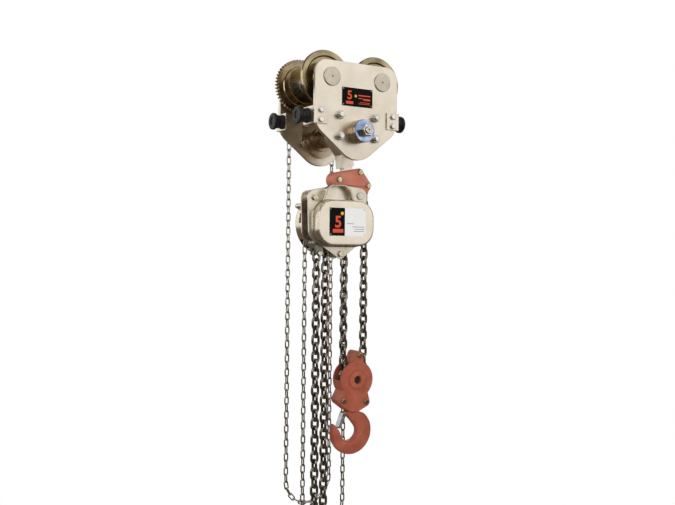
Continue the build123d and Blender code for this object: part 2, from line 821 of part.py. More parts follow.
with BuildPart() as drive_housing:
    disc(0, drive_z, housing_flange_radius, plate_outer, housing_face)
    disc(0, drive_z, housing_radius, plate_outer, housing_end)
    disc(0, drive_z, drive_bush_radius + seat, plate_outer, housing_end, Mode.SUBTRACT)
    for x, z in housing_bolts:
        disc(x, z, housing_bolt_size / 2 + seat, plate_outer, housing_face, Mode.SUBTRACT)
finish(drive_housing.part, "drive_bearing_housing")

finish_group(
    [
        ring(0, drive_z, drive_shaft_radius + fit, drive_bush_radius, plate_inner, plate_outer + 6.0),
        ring(0, drive_z, drive_shaft_radius + fit, drive_bush_radius, housing_end - 16.0, housing_end),
    ],
    "drive_bushes",
)
for x, z in housing_bolts:
    trolley_fasteners.append(
        bolt((x, housing_face, z), (0, 1, 0), housing_bolt_size,
             housing_flange_height + plate_thickness, 13.0, 5.3)
    )
finish_group(trolley_fasteners, "trolley_fasteners")

first_standing = atan2(
    (trolley_joints[0][1] + trolley_joints[1][1]) / 2 - drive_z,
    (trolley_joints[0][0] + trolley_joints[1][0]) / 2,
)
with BuildPart() as trolley_hand_wheel:
    hand_wheel(0, drive_z, trolley_chain_y, trolley_wheel_radius, trolley_pockets,
               first_standing, 27.0, drive_shaft_radius + seat, wheel_hub_near, wheel_hub_far)
finish(trolley_hand_wheel.part, "trolley_hand_wheel")

finish_group(
    [
        drive_shaft.part,
        nut((0, wheel_hub_far, drive_z), (0, 1, 0), 2 * shaft_thread_radius, 30.0, 12.0),
    ],
    "drive_pinion_shaft",
)

guide_wire = 4.0
guide_reach = trolley_wheel_radius + 24.0
guide_drop = 46.0
with BuildPart() as chain_guide:
    with BuildLine() as guide_path:
        guide_top = drive_z + 8.0
        FilletPolyline(
            (-guide_reach, plate_outer, guide_top),
            (-guide_reach, trolley_chain_y + 26.0, guide_top),
            (-guide_reach, trolley_chain_y + 26.0, drive_z - guide_drop),
            (guide_reach, trolley_chain_y + 26.0, drive_z - guide_drop),
            (guide_reach, trolley_chain_y + 26.0, guide_top),
            (guide_reach, plate_outer, guide_top),
            radius=14.0,
        )
    with BuildSketch(Plane(origin=guide_path.line @ 0, z_dir=guide_path.line % 0)):
        Circle(guide_wire)
    sweep()
finish(chain_guide.part, "trolley_chain_guide")

# ---------------------------------------------------------------- yoke and suspension link
load_line_x = hoist_x + wheel_radius(load_pitch, load_wire, sheave_pockets) + sheave_radius
fall_left = load_line_x - sheave_radius
fall_right = load_line_x + sheave_radius
yoke_lobes = [
    (-4.0, -246.0, 26.0),
    (76.0, -218.0, 14.0),
    (fall_right - 4.0, -260.0, 18.0),
    (76.0, -296.0, 19.0),
]
suspension_pin = (76.0, -296.0)
suspension_pin_radius = 9.0
dead_end_pin = (fall_right, -261.0)
dead_end_pin_radius = 4.0
yoke_bolts = [(-4.0, -246.0), (76.0, -218.0)]
yoke_bolt_size = 10.0
yoke_bolt_flats = 17.0
link_pin = (38.0, -243.0)
link_pin_radius = 9.0
link_half_width = 21.5
link_lean = radians(8.0)
tongue_half_depth = yoke_half_depth - yoke_wall - 0.5
tongue_radius = 19.0
link_shoulder_z = -203.0
cavity_gap = 1.0


for name, side in sides.items():
    with BuildPart() as yoke:
        belt_slab(yoke_lobes, *span(side, 0, yoke_half_depth))
        outer = yoke.faces().sort_by(Axis.Y)[-1 if side > 0 else 0]
        fillet(outer.outer_wire().edges(), yoke_edge)
        inside = span(side, 0, tongue_half_depth + 0.5)
        disc(*link_pin, tongue_radius + cavity_gap + 1.0, *inside, Mode.SUBTRACT)
        brick(link_pin[0] - tongue_radius - 5.0, link_pin[0] + tongue_radius + 2.0, *inside,
              link_pin[1], link_pin[1] + 60.0, Mode.SUBTRACT)
        chain_room = span(side, 0, load_inner_width / 2 + load_wire + 1.0)
        brick(fall_right - 17.0, fall_right + 30.0, *span(side, 0, 6.0), dead_end_pin[1] - 60.0,
              dead_end_pin[1] + 14.0, Mode.SUBTRACT)
        brick(fall_right - 17.0, fall_right + 30.0, *chain_room, dead_end_pin[1] - 60.0,
              dead_end_pin[1] - 3.0, Mode.SUBTRACT)
        outside = span(side, frame_half_gap - side_gap, yoke_half_depth + 1.0)
        brick(-60.0, fall_right + 40.0, *outside, -330.0, -262.0, Mode.SUBTRACT)
        for x, z in yoke_bolts:
            disc(x, z, yoke_bolt_size / 2 + seat, *span(side, 0, yoke_half_depth), Mode.SUBTRACT)
        disc(*dead_end_pin, dead_end_pin_radius + seat, *span(side, 0, yoke_half_depth),
             Mode.SUBTRACT)
        disc(*link_pin, link_pin_radius + seat, *span(side, 0, yoke_half_depth - 4.0),
             Mode.SUBTRACT)
        disc(*suspension_pin, suspension_pin_radius + seat, *span(side, 0, yoke_half_depth),
             Mode.SUBTRACT)
    finish(yoke.part, f"yoke_{name}")

with BuildPart() as suspension_link:
    depth = (-link_half_depth, link_half_depth)
    low_x = link_pin[0] - tan(link_lean) * (link_shoulder_z - link_pin[1])
    bend_z = load_bar_z - 62.0
    bend_x = link_pin[0] - tan(link_lean) * (bend_z - link_pin[1])
    with BuildSketch(wall(link_half_depth)):
        with BuildLine():
            Polyline(
                (-27.0, load_bar_z - 22.0),
                (bend_x - link_half_width, bend_z),
                (low_x - link_half_width, link_shoulder_z - 5.0),
                (low_x + link_half_width, link_shoulder_z + 5.0),
                (bend_x + link_half_width, bend_z),
                (33.0, load_bar_z - 12.0),
                close=True,
            )
        make_face()
    extrude(amount=2 * link_half_depth)
    disc(0, load_bar_z, 35.0, *depth)
    slender = (-tongue_half_depth, tongue_half_depth)
    disc(*link_pin, tongue_radius, *slender)
    brick(link_pin[0] - tongue_radius, link_pin[0] + tongue_radius - 4.0, *slender,
          link_pin[1], link_shoulder_z + 6.0)
    disc(0, load_bar_z, load_bar_radius + fit, *depth, Mode.SUBTRACT)
    disc(*link_pin, link_pin_radius + seat, *slender, Mode.SUBTRACT)
finish(suspension_link.part, "suspension_link")

with BuildPart() as link_pin_solid:
    disc(*link_pin, link_pin_radius, -(yoke_half_depth - 4.5), yoke_half_depth - 4.5)
    chamfer(link_pin_solid.edges().filter_by(GeomType.CIRCLE), 1.0)

hoist_fasteners = []
for x, z in yoke_bolts:
    hoist_fasteners.append(
        bolt((x, -yoke_half_depth, z), (0, -1, 0), yoke_bolt_size, 2 * yoke_half_depth + 12.0,
             yoke_bolt_flats, 7.0)
    )
    hoist_fasteners.append(
        nut((x, yoke_half_depth, z), (0, 1, 0), yoke_bolt_size, yoke_bolt_flats, 8.0)
    )
hoist_fasteners.append(
    bolt((dead_end_pin[0], -yoke_half_depth, dead_end_pin[1]), (0, -1, 0),
         2 * dead_end_pin_radius, 2 * yoke_half_depth + 10.0, 15.0, 6.0)
)
hoist_fasteners.append(
    nut((dead_end_pin[0], yoke_half_depth, dead_end_pin[1]), (0, 1, 0),
        2 * dead_end_pin_radius, 15.0, 7.0)
)

# ---------------------------------------------------------------- hoist frame
frame_circles = [
    (-94.5, -307.0, 25.0),
    (5.0, -320.0, 57.0),
    (76.0, -296.0, 26.0),
    (-86.0, -415.0, 30.0),
    (74.0, -415.0, 30.0),
    (3.0, -487.0, 16.0),
]
stay_points = [(-94.5, -307.0), (3.0, -487.0)]
stay_bolt_size = 12.0
stay_radius = 11.0
anchor_point = (-73.0, -486.0)
anchor_pin_radius = 4.0
pawl_stud = (hoist_x + 27.6, hoist_z + 61.7)
pawl_stud_radius = 5.0
wheel_cover_screws = [(-106.0, -331.0), (96.0, -331.0)]
wheel_cover_screw_size = 6.0
slow_x = (hoist_x - gear_offset, hoist_x + gear_offset)
layshaft_radius = 8.0
bearing_low = frame_outer + 4.0 - sheave_bearing_width

for name, side in sides.items():
    y_near, y_far = span(side, frame_half_gap, frame_outer)
    with BuildPart() as frame_side:
        belt_slab(frame_circles, y_near, y_far)
        if name == "rear":
            for x, z in wheel_cover_screws:
                belt_slab([(x, z, 9.0), (x * 0.8, z - 12.0, 12.0)], y_near, y_far)
            disc(*pawl_stud, pawl_stud_radius + seat, y_near, y_far, Mode.SUBTRACT)
        fillet(frame_side.faces().sort_by(Axis.Y)[-1 if side > 0 else 0].outer_wire().edges(), 1.0)
        disc(hoist_x, hoist_z, sheave_bearing_radius + seat, y_near, y_far, Mode.SUBTRACT)
        for x, z in stay_points:
            disc(x, z, stay_bolt_size / 2 + seat, y_near, y_far, Mode.SUBTRACT)
        disc(*suspension_pin, suspension_pin_radius + seat, y_near, y_far, Mode.SUBTRACT)
        if name == "front":
            for x in slow_x:
                disc(x, hoist_z, layshaft_radius + seat, y_near, y_far, Mode.SUBTRACT)
    finish(frame_side.part, f"hoist_frame_{name}")

stays = []
for x, z in stay_points:
    stays.append(
        ring(x, z, stay_bolt_size / 2 + seat, stay_radius, -frame_half_gap, frame_half_gap)
    )
    hoist_fasteners.append(
        bolt((x, -frame_outer, z), (0, -1, 0), stay_bolt_size, 2 * frame_outer + 10.0, 19.0, 7.5)
    )
    hoist_fasteners.append(nut((x, frame_outer, z), (0, 1, 0), stay_bolt_size, 19.0, 9.0))
finish_group(stays, "frame_stays")
with BuildPart() as hanger_pin:
    disc(*suspension_pin, suspension_pin_radius, -(frame_outer + 3.0), frame_outer + 3.0)
    disc(*suspension_pin, 12.0, -(frame_outer + 5.0), -frame_outer)
    disc(*suspension_pin, 12.0, frame_outer, frame_outer + 5.0)
    chamfer(hanger_pin.faces().sort_by(Axis.Y)[0].edges(), 1.0)

# ---------------------------------------------------------------- load chain
sheave_joint_radius = wheel_radius(load_pitch, load_wire, sheave_pockets)
slack_x = hoist_x - sheave_joint_radius
slack_bend = (slack_x - anchor_point[0]) / 2


def load_route(bottom):
    """Dead end, idler sheave, load sheave, then the slack loop whose bend is centred at bottom."""
    return route([
        ("line", dead_end_pin, (fall_right, block_z)),
        ("arc", (load_line_x, block_z), sheave_radius, 0, -pi),
        ("line", (fall_left, block_z), (fall_left, hoist_z)),
        ("arc", (hoist_x, hoist_z), sheave_joint_radius, 0, pi),
        ("line", (slack_x, hoist_z), (slack_x, bottom)),
        ("arc", (anchor_point[0] + slack_bend, bottom), slack_bend, 0, -pi),
        ("line", (anchor_point[0], bottom), anchor_point),
        ("line", anchor_point, (anchor_point[0], anchor_point[1] + 60.0)),
    ])


end_chord = load_pitch - load_wire / 2 - dead_end_pin_radius
load_chords = [end_chord, load_pitch + load_wire]
load_chords += [load_pitch - load_wire, load_pitch + load_wire] * (load_chain_pairs - 1)
load_chords += [load_pitch - load_wire / 2 - anchor_pin_radius]


def load_slack(bottom):
    """How much further the chain reaches than the anchor pin."""
    point, length = load_route(bottom)
    return chord_walk(point, 0, load_chords)[-1] - (length - 60.0)


_, route_to_anchor = load_route(anchor_point[1])
slack_depth = (2 * load_chain_pairs * load_pitch - route_to_anchor + 60.0) / 2
slack_bottom = solve(
    load_slack, anchor_point[1] - slack_depth - 40.0, anchor_point[1] - slack_depth + 25.0
)
load_point, _ = load_route(slack_bottom)
load_joints = [load_point(s) for s in chord_walk(load_point, 0, load_chords)]
finish_group(place_links(load_link, load_joints, 0), "load_chain")

# ---------------------------------------------------------------- load sheave and gears
sheave_body_radius = sheave_joint_radius + 2.5
sheave_half_width = load_inner_width / 2 + load_wire + 0.9
sheave_slot = load_wire / 2 + 0.8
sheave_slot_radius = sheave_joint_radius - load_inner_width / 2 - load_wire - 1.0
flat_half_angle = asin((load_pitch + load_wire) / 2 / sheave_joint_radius)
pocket_floor = sheave_joint_radius * cos(flat_half_angle) - load_wire / 2 - 0.5
top_joints = [
    index for index, (x, z) in enumerate(load_joints)
    if z > hoist_z + 4.0 and abs(x - hoist_x) < sheave_joint_radius + 1.0 and index % 2 == 1
]
first_flat = atan2(
    (load_joints[top_joints[0]][1] + load_joints[top_joints[0] + 1][1]) / 2 - hoist_z,
    (load_joints[top_joints[0]][0] + load_joints[top_joints[0] + 1][0]) / 2 - hoist_x,
)
gear_layer = frame_outer + 8.0
slow_width = 11.0
fast_layer = gear_layer + slow_width + 1.5
fast_width = 8.0
with BuildPart() as load_sheave:
    disc(hoist_x, hoist_z, sheave_body_radius, -sheave_half_width, sheave_half_width)
    with BuildSketch(Plane(origin=(hoist_x, 0, hoist_z), x_dir=(1, 0, 0), z_dir=(0, 0, 1))):
        with Locations(((sheave_slot_radius + sheave_body_radius + 2.0) / 2, 0)):
            Rectangle(sheave_body_radius + 2.0 - sheave_slot_radius, 2 * sheave_slot)
    revolve(axis=Axis((hoist_x, 0, hoist_z), (0, 1, 0)), mode=Mode.SUBTRACT)
    for pocket in range(sheave_pockets):
        angle = first_flat + 2 * pi * pocket / sheave_pockets
        reach = pocket_floor + 15.0
        with BuildSketch(wall(sheave_half_width + 1.0)):
            with Locations(Location((hoist_x + reach * cos(angle), hoist_z + reach * sin(angle), 0),
                                    (0, 0, degrees(angle)))):
                Rectangle(30.0, load_pitch + 2 * load_wire + 2.0)
        extrude(amount=2 * sheave_half_width + 2.0, mode=Mode.SUBTRACT)
    disc(hoist_x, hoist_z, sheave_journal_radius, -(gear_layer + slow_width), -sheave_half_width)
    disc(hoist_x, hoist_z, sheave_journal_radius, sheave_half_width, frame_outer + 4.5)
    disc(hoist_x, hoist_z, drive_pin_radius + 0.5, -(gear_layer + slow_width + 1.0),
         frame_outer + 5.0, Mode.SUBTRACT)
finish(load_sheave.part, "load_sheave")
finish_group(
    [
        ring(hoist_x, hoist_z, sheave_journal_radius + fit, sheave_bearing_radius,
             *span(side, bearing_low, bearing_low + sheave_bearing_width))
        for side in sides.values()
    ],
    "sheave_bearings",
)

fast_turn = radians(90)
with BuildPart() as load_gear:
    teeth = gear_points(slow_module, slow_wheel_teeth, 0.0, 0.75, 1.2, hoist_backlash)
    gear(hoist_x, hoist_z, teeth, -(gear_layer + slow_width), -gear_layer)
    disc(hoist_x, hoist_z, sheave_journal_radius + seat, -(gear_layer + slow_width), -gear_layer,
         Mode.SUBTRACT)
finish(load_gear.part, "load_gear")

for name, end in ends.items():
    x = hoist_x + end * gear_offset
    toward = 0.0 if end > 0 else pi
    fast_angle = mesh_turn(fast_turn, fast_pinion_teeth, fast_wheel_teeth, toward)
    slow_angle = mesh_turn(0.0, slow_wheel_teeth, slow_pinion_teeth, toward)
    with BuildPart() as lay_gear:
        teeth = gear_points(slow_module, slow_pinion_teeth, slow_angle, 0.9, 1.0, hoist_backlash)
        gear(x, hoist_z, teeth, -fast_layer, -(gear_layer - 1.0))
        teeth = gear_points(fast_module, fast_wheel_teeth, fast_angle, 0.75, 1.2, hoist_backlash)
        gear(x, hoist_z, teeth, -(fast_layer + fast_width), -fast_layer)
        disc(x, hoist_z, layshaft_radius, -(frame_outer + cover_depth - cover_wall - side_gap),
             -(frame_half_gap + side_gap))
    finish(lay_gear.part, f"intermediate_gear_{name}")

brake_near = frame_outer + 5.5
hub_plate = 6.0
friction_plate = 3.0
ratchet_plate = 5.0
brake_radius = 38.0
hub_far = brake_near + hub_plate
ratchet_near = hub_far + friction_plate + 0.2
ratchet_far = ratchet_near + ratchet_plate
hand_hub_near = ratchet_far + friction_plate + 0.2
hand_hub_far = wheel_cover_back - wheel_cover_wall - 10.0
thread_radius = 7.0
with BuildPart() as drive_pin:
    teeth = gear_points(fast_module, fast_pinion_teeth, fast_turn, 0.9, 1.0, hoist_backlash)
    gear(hoist_x, hoist_z, teeth, -(fast_layer + fast_width + 1.0), -(fast_layer + 0.5))
    disc(hoist_x, hoist_z, drive_pin_radius, -(frame_outer + cover_depth - cover_wall - side_gap),
         hand_hub_far)
    disc(hoist_x, hoist_z, brake_radius, brake_near, hub_far)
    disc(hoist_x, hoist_z, thread_radius, hand_hub_far, hand_hub_far + 9.0)
finish_group(
    [
        drive_pin.part,
        nut((hoist_x, hand_hub_far, hoist_z), (0, 1, 0), 2 * thread_radius, 24.0, 8.0),
    ],
    "hoist_pinion_shaft",
)
finish_group(
    [
        ring(hoist_x, hoist_z, drive_pin_radius + 6.0, brake_radius, hub_far + 0.1,
             hub_far + 0.1 + friction_plate),
        ring(hoist_x, hoist_z, drive_pin_radius + 6.0, brake_radius, ratchet_far + 0.1,
             ratchet_far + 0.1 + friction_plate),
    ],
    "friction_discs",
)
ratchet_teeth = 16
ratchet_tip = 50.0
ratchet_root = 44.0
ratchet_turn = radians(12)
with BuildPart() as ratchet_disc:
    points = []
    for tooth in range(ratchet_teeth):
        angle = ratchet_turn + 2 * pi * tooth / ratchet_teeth
        points.append((ratchet_tip * cos(angle), ratchet_tip * sin(angle)))
        points.append((ratchet_root * cos(angle), ratchet_root * sin(angle)))
    gear(hoist_x, hoist_z, points, ratchet_near, ratchet_far)
    disc(hoist_x, hoist_z, drive_pin_radius + fit, ratchet_near, ratchet_far, Mode.SUBTRACT)
finish(ratchet_disc.part, "ratchet_disc")

hoist_wheel_radius = wheel_radius(hand_pitch, hand_wire, hoist_pockets)
hoist_joints = closed_loop(
    (hoist_x, hoist_z), hoist_wheel_radius, hand_pitch, hand_wire, hoist_chain_pairs
)
finish_group(place_links(hand_link, hoist_joints, hoist_chain_y), "hoist_hand_chain")
hoist_first_standing = atan2(
    (hoist_joints[0][1] + hoist_joints[1][1]) / 2 - hoist_z,
    (hoist_joints[0][0] + hoist_joints[1][0]) / 2 - hoist_x,
)
with BuildPart() as hoist_hand_wheel:
    hand_wheel(hoist_x, hoist_z, hoist_chain_y, hoist_wheel_radius, hoist_pockets,
               hoist_first_standing, 26.0, drive_pin_radius + seat, hand_hub_near, hand_hub_far)
finish(hoist_hand_wheel.part, "hoist_hand_wheel")

# pawl and its stud
pawl_near = ratchet_near + 0.3
pawl_far = ratchet_far - 0.3
pawl_boss = 8.0
pawl_tip_radius = 1.2
with BuildPart() as pawl:
    tip_angle = ratchet_turn + 2 * pi / ratchet_teeth + 0.06
    tip = (
        hoist_x + (ratchet_root + 3.0) * cos(tip_angle),
        hoist_z + (ratchet_root + 3.0) * sin(tip_angle),
    )
    belt_slab([(*pawl_stud, pawl_boss), (*tip, pawl_tip_radius)], pawl_near, pawl_far)
    disc(*pawl_stud, pawl_stud_radius + fit, pawl_near, pawl_far, Mode.SUBTRACT)
finish(pawl.part, "pawl")
with BuildPart() as pawl_stud_part:
    disc(*pawl_stud, pawl_stud_radius, frame_half_gap + 0.5, pawl_far + 1.0)
    disc(*pawl_stud, 8.0, pawl_far + 0.4, pawl_far + 3.0)
    disc(*pawl_stud, 8.0, frame_outer, pawl_near - 6.0)
finish(pawl_stud_part.part, "pawl_stud")

# ---------------------------------------------------------------- hoist covers
with BuildPart() as gear_cover:
    with BuildSketch(wall(-frame_outer)):
        with Locations((cover_x, hoist_z)):
            RectangleRounded(*cover_size, cover_corner)
    extrude(amount=cover_depth)
    fillet(gear_cover.faces().sort_by(Axis.Y)[0].outer_wire().edges(), 6.0)
    with BuildSketch(wall(-frame_outer)):
        with Locations((cover_x, hoist_z)):
            RectangleRounded(cover_size[0] - 2 * cover_wall, cover_size[1] - 2 * cover_wall,
                             cover_corner - cover_wall)
    extrude(amount=cover_depth - cover_wall, mode=Mode.SUBTRACT)
    with BuildSketch(wall(-frame_outer)):
        with Locations((cover_x, hoist_z)):
            RectangleRounded(cover_size[0] + 6.0, cover_size[1] + 6.0, cover_corner + 3.0)
            RectangleRounded(cover_size[0] - 2 * cover_wall, cover_size[1] - 2 * cover_wall,
                             cover_corner - cover_wall, mode=Mode.SUBTRACT)
    extrude(amount=4.0)
    with BuildSketch(wall(-frame_outer - 0.3)):
        with BuildLine() as arch:
            FilletPolyline((-76.0, -318.0), (-62.0, -280.0), (-44.0, -267.5), (6.0, -266.5),
                           (24.0, -280.0), (38.0, -317.0), radius=8.0)
        trace(arch.line, 5.0)
    extrude(amount=24.0)
    for x in (hoist_x - gear_offset, hoist_x, hoist_x + gear_offset):
        disc(x, hoist_z, 13.0, -(frame_outer + cover_depth - cover_wall),
             -(frame_outer + cover_depth - cover_wall - 6.0))
        disc(x, hoist_z, layshaft_radius + fit, -(frame_outer + cover_depth - cover_wall) - 0.2,
             -frame_outer - cover_depth + cover_wall + 7.0, Mode.SUBTRACT)
finish(gear_cover.part, "gear_cover")

with BuildPart() as wheel_cover:
    cover_inner = wheel_cover_radius - wheel_cover_wall
    disc(hoist_x, hoist_z, wheel_cover_radius, frame_outer + 6.0, wheel_cover_back)
    fillet(wheel_cover.faces().sort_by(Axis.Y)[-1].edges(), 8.0)
    disc(hoist_x, hoist_z, cover_inner, frame_outer, wheel_cover_back - wheel_cover_wall,
         Mode.SUBTRACT)
    for x, z in wheel_cover_screws:
        reach = hoist_x + (x - hoist_x) * 0.83
        belt_slab([(x, z, 8.0), (reach, z - 8.0, 8.0)], frame_outer, wheel_cover_back - 12.0)
    disc(hoist_x, hoist_z, cover_inner, frame_outer - 1.0, wheel_cover_back - wheel_cover_wall,
         Mode.SUBTRACT)
    for x, z in wheel_cover_screws:
        disc(x, z, wheel_cover_screw_size / 2 + seat, frame_outer, wheel_cover_back,
             Mode.SUBTRACT)
    for x in (-hoist_wheel_radius, hoist_wheel_radius):
        brick(hoist_x + x - 14.0, hoist_x + x + 14.0, hoist_chain_y - 14.0, hoist_chain_y + 14.0,
              hoist_z - 130.0, hoist_z - 52.0, Mode.SUBTRACT)
    brick(hoist_x - wheel_cover_radius - 5.0, hoist_x - 60.0, frame_outer + 12.0,
          frame_outer + 30.0, hoist_z + 2.0, hoist_z + 34.0, Mode.SUBTRACT)
    stay_x, stay_z = stay_points[1]
    brick(stay_x - 14.0, stay_x + 14.0, frame_outer, frame_outer + 16.0, stay_z - 20.0,
          stay_z + 15.0, Mode.SUBTRACT)
finish(wheel_cover.part, "hand_wheel_cover")
for x, z in wheel_cover_screws:
    seat_y = wheel_cover_back - 12.0
    hoist_fasteners.append(
        bolt((x, seat_y, z), (0, 1, 0), wheel_cover_screw_size, seat_y - frame_outer - 1.0, 10.0, 4.0)
    )

# chain anchor, guide and nameplate
anchor_block_top = -452.0
with BuildPart() as chain_anchor:
    belt_slab([(*anchor_point, 9.0), (-82.0, anchor_block_top, 10.0), (-64.0, anchor_block_top, 8.0)],
              -(frame_half_gap - side_gap), frame_half_gap - side_gap)
    brick(-110.0, -40.0, -6.0, 6.0, anchor_point[1] - 12.0, anchor_point[1] + 16.0, Mode.SUBTRACT)
    brick(anchor_point[0] - 17.0, anchor_point[0] + 17.0, -16.5, 16.5, anchor_point[1] - 30.0,
          anchor_point[1] - 4.0, Mode.SUBTRACT)
    disc(*anchor_point, anchor_pin_radius + seat, -22.0, 22.0, Mode.SUBTRACT)
finish(chain_anchor.part, "chain_anchor")
with BuildPart() as anchor_pin:
    disc(*anchor_point, anchor_pin_radius, -(frame_outer + 1.0), frame_outer + 12.0)
    disc(*anchor_point, 8.0, -(frame_outer + 4.0), -frame_outer)
    chamfer(anchor_pin.faces().sort_by(Axis.Y)[0].edges(), 1.0)
finish_group([link_pin_solid.part, hanger_pin.part, anchor_pin.part], "hoist_pins")

hoist_plate_y = -(frame_outer + cover_depth)
with BuildPart() as hoist_nameplate:
    with BuildSketch(wall(hoist_plate_y)):
        with Locations((cover_x + 3.0, hoist_z + 4.0)):
            RectangleRounded(*hoist_plate_size, 2.5)
    extrude(amount=nameplate_thickness)
finish(hoist_nameplate.part, "hoist_nameplate")
finish_group(
    [
        rivet(cover_x + 3.0 + x * (hoist_plate_size[0] / 2 - 5.0),
              hoist_z + 4.0 + z * (hoist_plate_size[1] / 2 - 5.0),
              hoist_plate_y - nameplate_thickness, rivet_radius)
        for x in (-1, 1) for z in (-1, 1)
    ],
    "hoist_nameplate_rivets",
)

# ---------------------------------------------------------------- bottom block
lean = radians(block_tilt)
block_x_dir = (cos(lean), 0, -sin(lean))


def tilted(u, v):
    """World x and z of a point given across and up the leaning bottom block."""
    return (
        load_line_x + u * cos(lean) + v * sin(lean),
        block_z - u * sin(lean) + v * cos(lean),
    )


def tilted_circles(circles):
    """Circles of the leaning block's own frame, in world x and z."""
    return [(*tilted(u, v), radius) for u, v, radius in circles]


block_outer = block_half_gap + block_wall
hub_height = 6.0
cavity_radius = sheave_radius + load_inner_width / 2 + load_wire + 3.0
block_bolt_points = [(0.0, 80.0), (-43.5, -71.0), (43.5, -71.0)]
block_bolt_size = 10.0
hook_shank_radius = 17.0
hook_nut_radius = 23.0
shank_bore_bottom = -105.0
ledge = -90.0
nut_room_top = -60.0
idler_pin_radius = 12.0
shank_axis = Plane(origin=(*tilted(0, 0)[:1], 0, tilted(0, 0)[1]), x_dir=block_x_dir,
                   z_dir=(0, -1, 0))
up = (sin(lean), 0, cos(lean))

for name, side in sides.items():
    with BuildPart() as block:
        wall_span = span(side, 0, block_outer)
        disc(*tilted(0, 0), 61.0, *wall_span)
        belt_slab(tilted_circles([(0, 80.0, 14.0), (0, 10.0, 30.0)]), *wall_span)
        belt_slab(tilted_circles([(0, -30.0, 40.0), (-43.5, -71.0, 15.0), (43.5, -71.0, 15.0),
                                  (-12.0, -91.0, 14.0), (12.0, -91.0, 14.0)]), *wall_span)
        disc(*tilted(0, 0), 30.0, *span(side, block_outer, block_outer + hub_height))
        top_face = block.faces().sort_by(Axis.Y)[-1 if side > 0 else 0]
        fillet(top_face.outer_wire().edges(), 3.0)
        disc(*tilted(0, 0), cavity_radius, *span(side, 0, block_half_gap), Mode.SUBTRACT)
        chain_room = load_inner_width / 2 + load_wire + 1.0
        for fall, out in ((fall_left, -1), (fall_right, 1)):
            x_low, x_high = sorted((fall - out * chain_room, fall + out * 35.0))
            brick(x_low, x_high, *span(side, 0, block_half_gap), block_z, block_z + 95.0,
                  Mode.SUBTRACT)
        for low, high, radius in (
            (shank_bore_bottom - 1.0, ledge, hook_shank_radius + fit),
            (ledge, nut_room_top, hook_nut_radius + 1.0),
        ):
            with BuildSketch(Plane(origin=(*tilted(0, low)[:1], 0, tilted(0, low)[1]),
                                   x_dir=(0, 1, 0), z_dir=up)):
                Circle(radius)
            extrude(amount=high - low, mode=Mode.SUBTRACT)
        for u, v in block_bolt_points:
            disc(*tilted(u, v), block_bolt_size / 2 + seat, *wall_span, Mode.SUBTRACT)
        disc(*tilted(0, 0), idler_pin_radius + seat, *span(side, 0, block_outer), Mode.SUBTRACT)
        disc(*tilted(0, 0), idler_pin_radius + 2.0,
             *span(side, block_outer - 1.0, block_outer + hub_height), Mode.SUBTRACT)
    finish(block.part, f"block_{name}")

for u, v in block_bolt_points:
    x, z = tilted(u, v)
    hoist_fasteners.append(
        bolt((x, -block_outer, z), (0, -1, 0), block_bolt_size, 2 * block_outer + 11.0, 16.0, 6.5)
    )
    hoist_fasteners.append(nut((x, block_outer, z), (0, 1, 0), block_bolt_size, 16.0, 8.0))
finish_group(hoist_fasteners, "hoist_fasteners")

with BuildPart() as idler_pin:
    disc(*tilted(0, 0), idler_pin_radius, -(block_outer - 1.2), block_outer - 1.2)
    chamfer(idler_pin.edges().filter_by(GeomType.CIRCLE), 0.8)
finish(idler_pin.part, "idler_pin")

flat_radius = sqrt(sheave_radius**2 - ((load_pitch + load_wire) / 2) ** 2) - load_wire / 2 - 0.7
idler_slot = sheave_radius - load_inner_width / 2 - load_wire - 1.5
idler_half = load_inner_width / 2 + load_wire + 0.8
idler_rim = 45.0
with BuildPart() as idler_sheave:
    with BuildSketch(Plane(origin=(load_line_x, 0, block_z), x_dir=(1, 0, 0), z_dir=(0, 0, 1))):
        with BuildLine():
            half = [(idler_pin_radius + 5.0, 18.6), (idler_rim, 18.6), (idler_rim, 17.4),
                    (flat_radius + 1.0, idler_half), (flat_radius, idler_half),
                    (flat_radius, 5.6), (idler_slot, 5.6)]
            Polyline(*half, *[(r, -d) for r, d in reversed(half)], close=True)
        make_face()
    revolve(axis=Axis((load_line_x, 0, block_z), (0, 1, 0)))
finish(idler_sheave.part, "idler_sheave")
finish(
    ring(load_line_x, block_z, idler_pin_radius + seat, idler_pin_radius + 5.0 - fit, -18.6, 18.6),
    "idler_bush",
)

# ---------------------------------------------------------------- hook
neck_top = shank_bore_bottom - 1.0
bowl_v = -172.0
bowl_radius = 31.0
back_u = 12.0
back_radius = 78.0
hook_half_depth = 20.0
latch_pivot = (-24.0, -117.0)
latch_end = (-38.0, -160.0)
latch_half = 11.0
latch_sheet = 2.0
latch_notch = 4.3
pivot_radius = 3.5


def on_circle(u, v, radius, angle):
    """Point of a circle at an angle in degrees."""
    return u + radius * cos(radians(angle)), v + radius * sin(radians(angle))


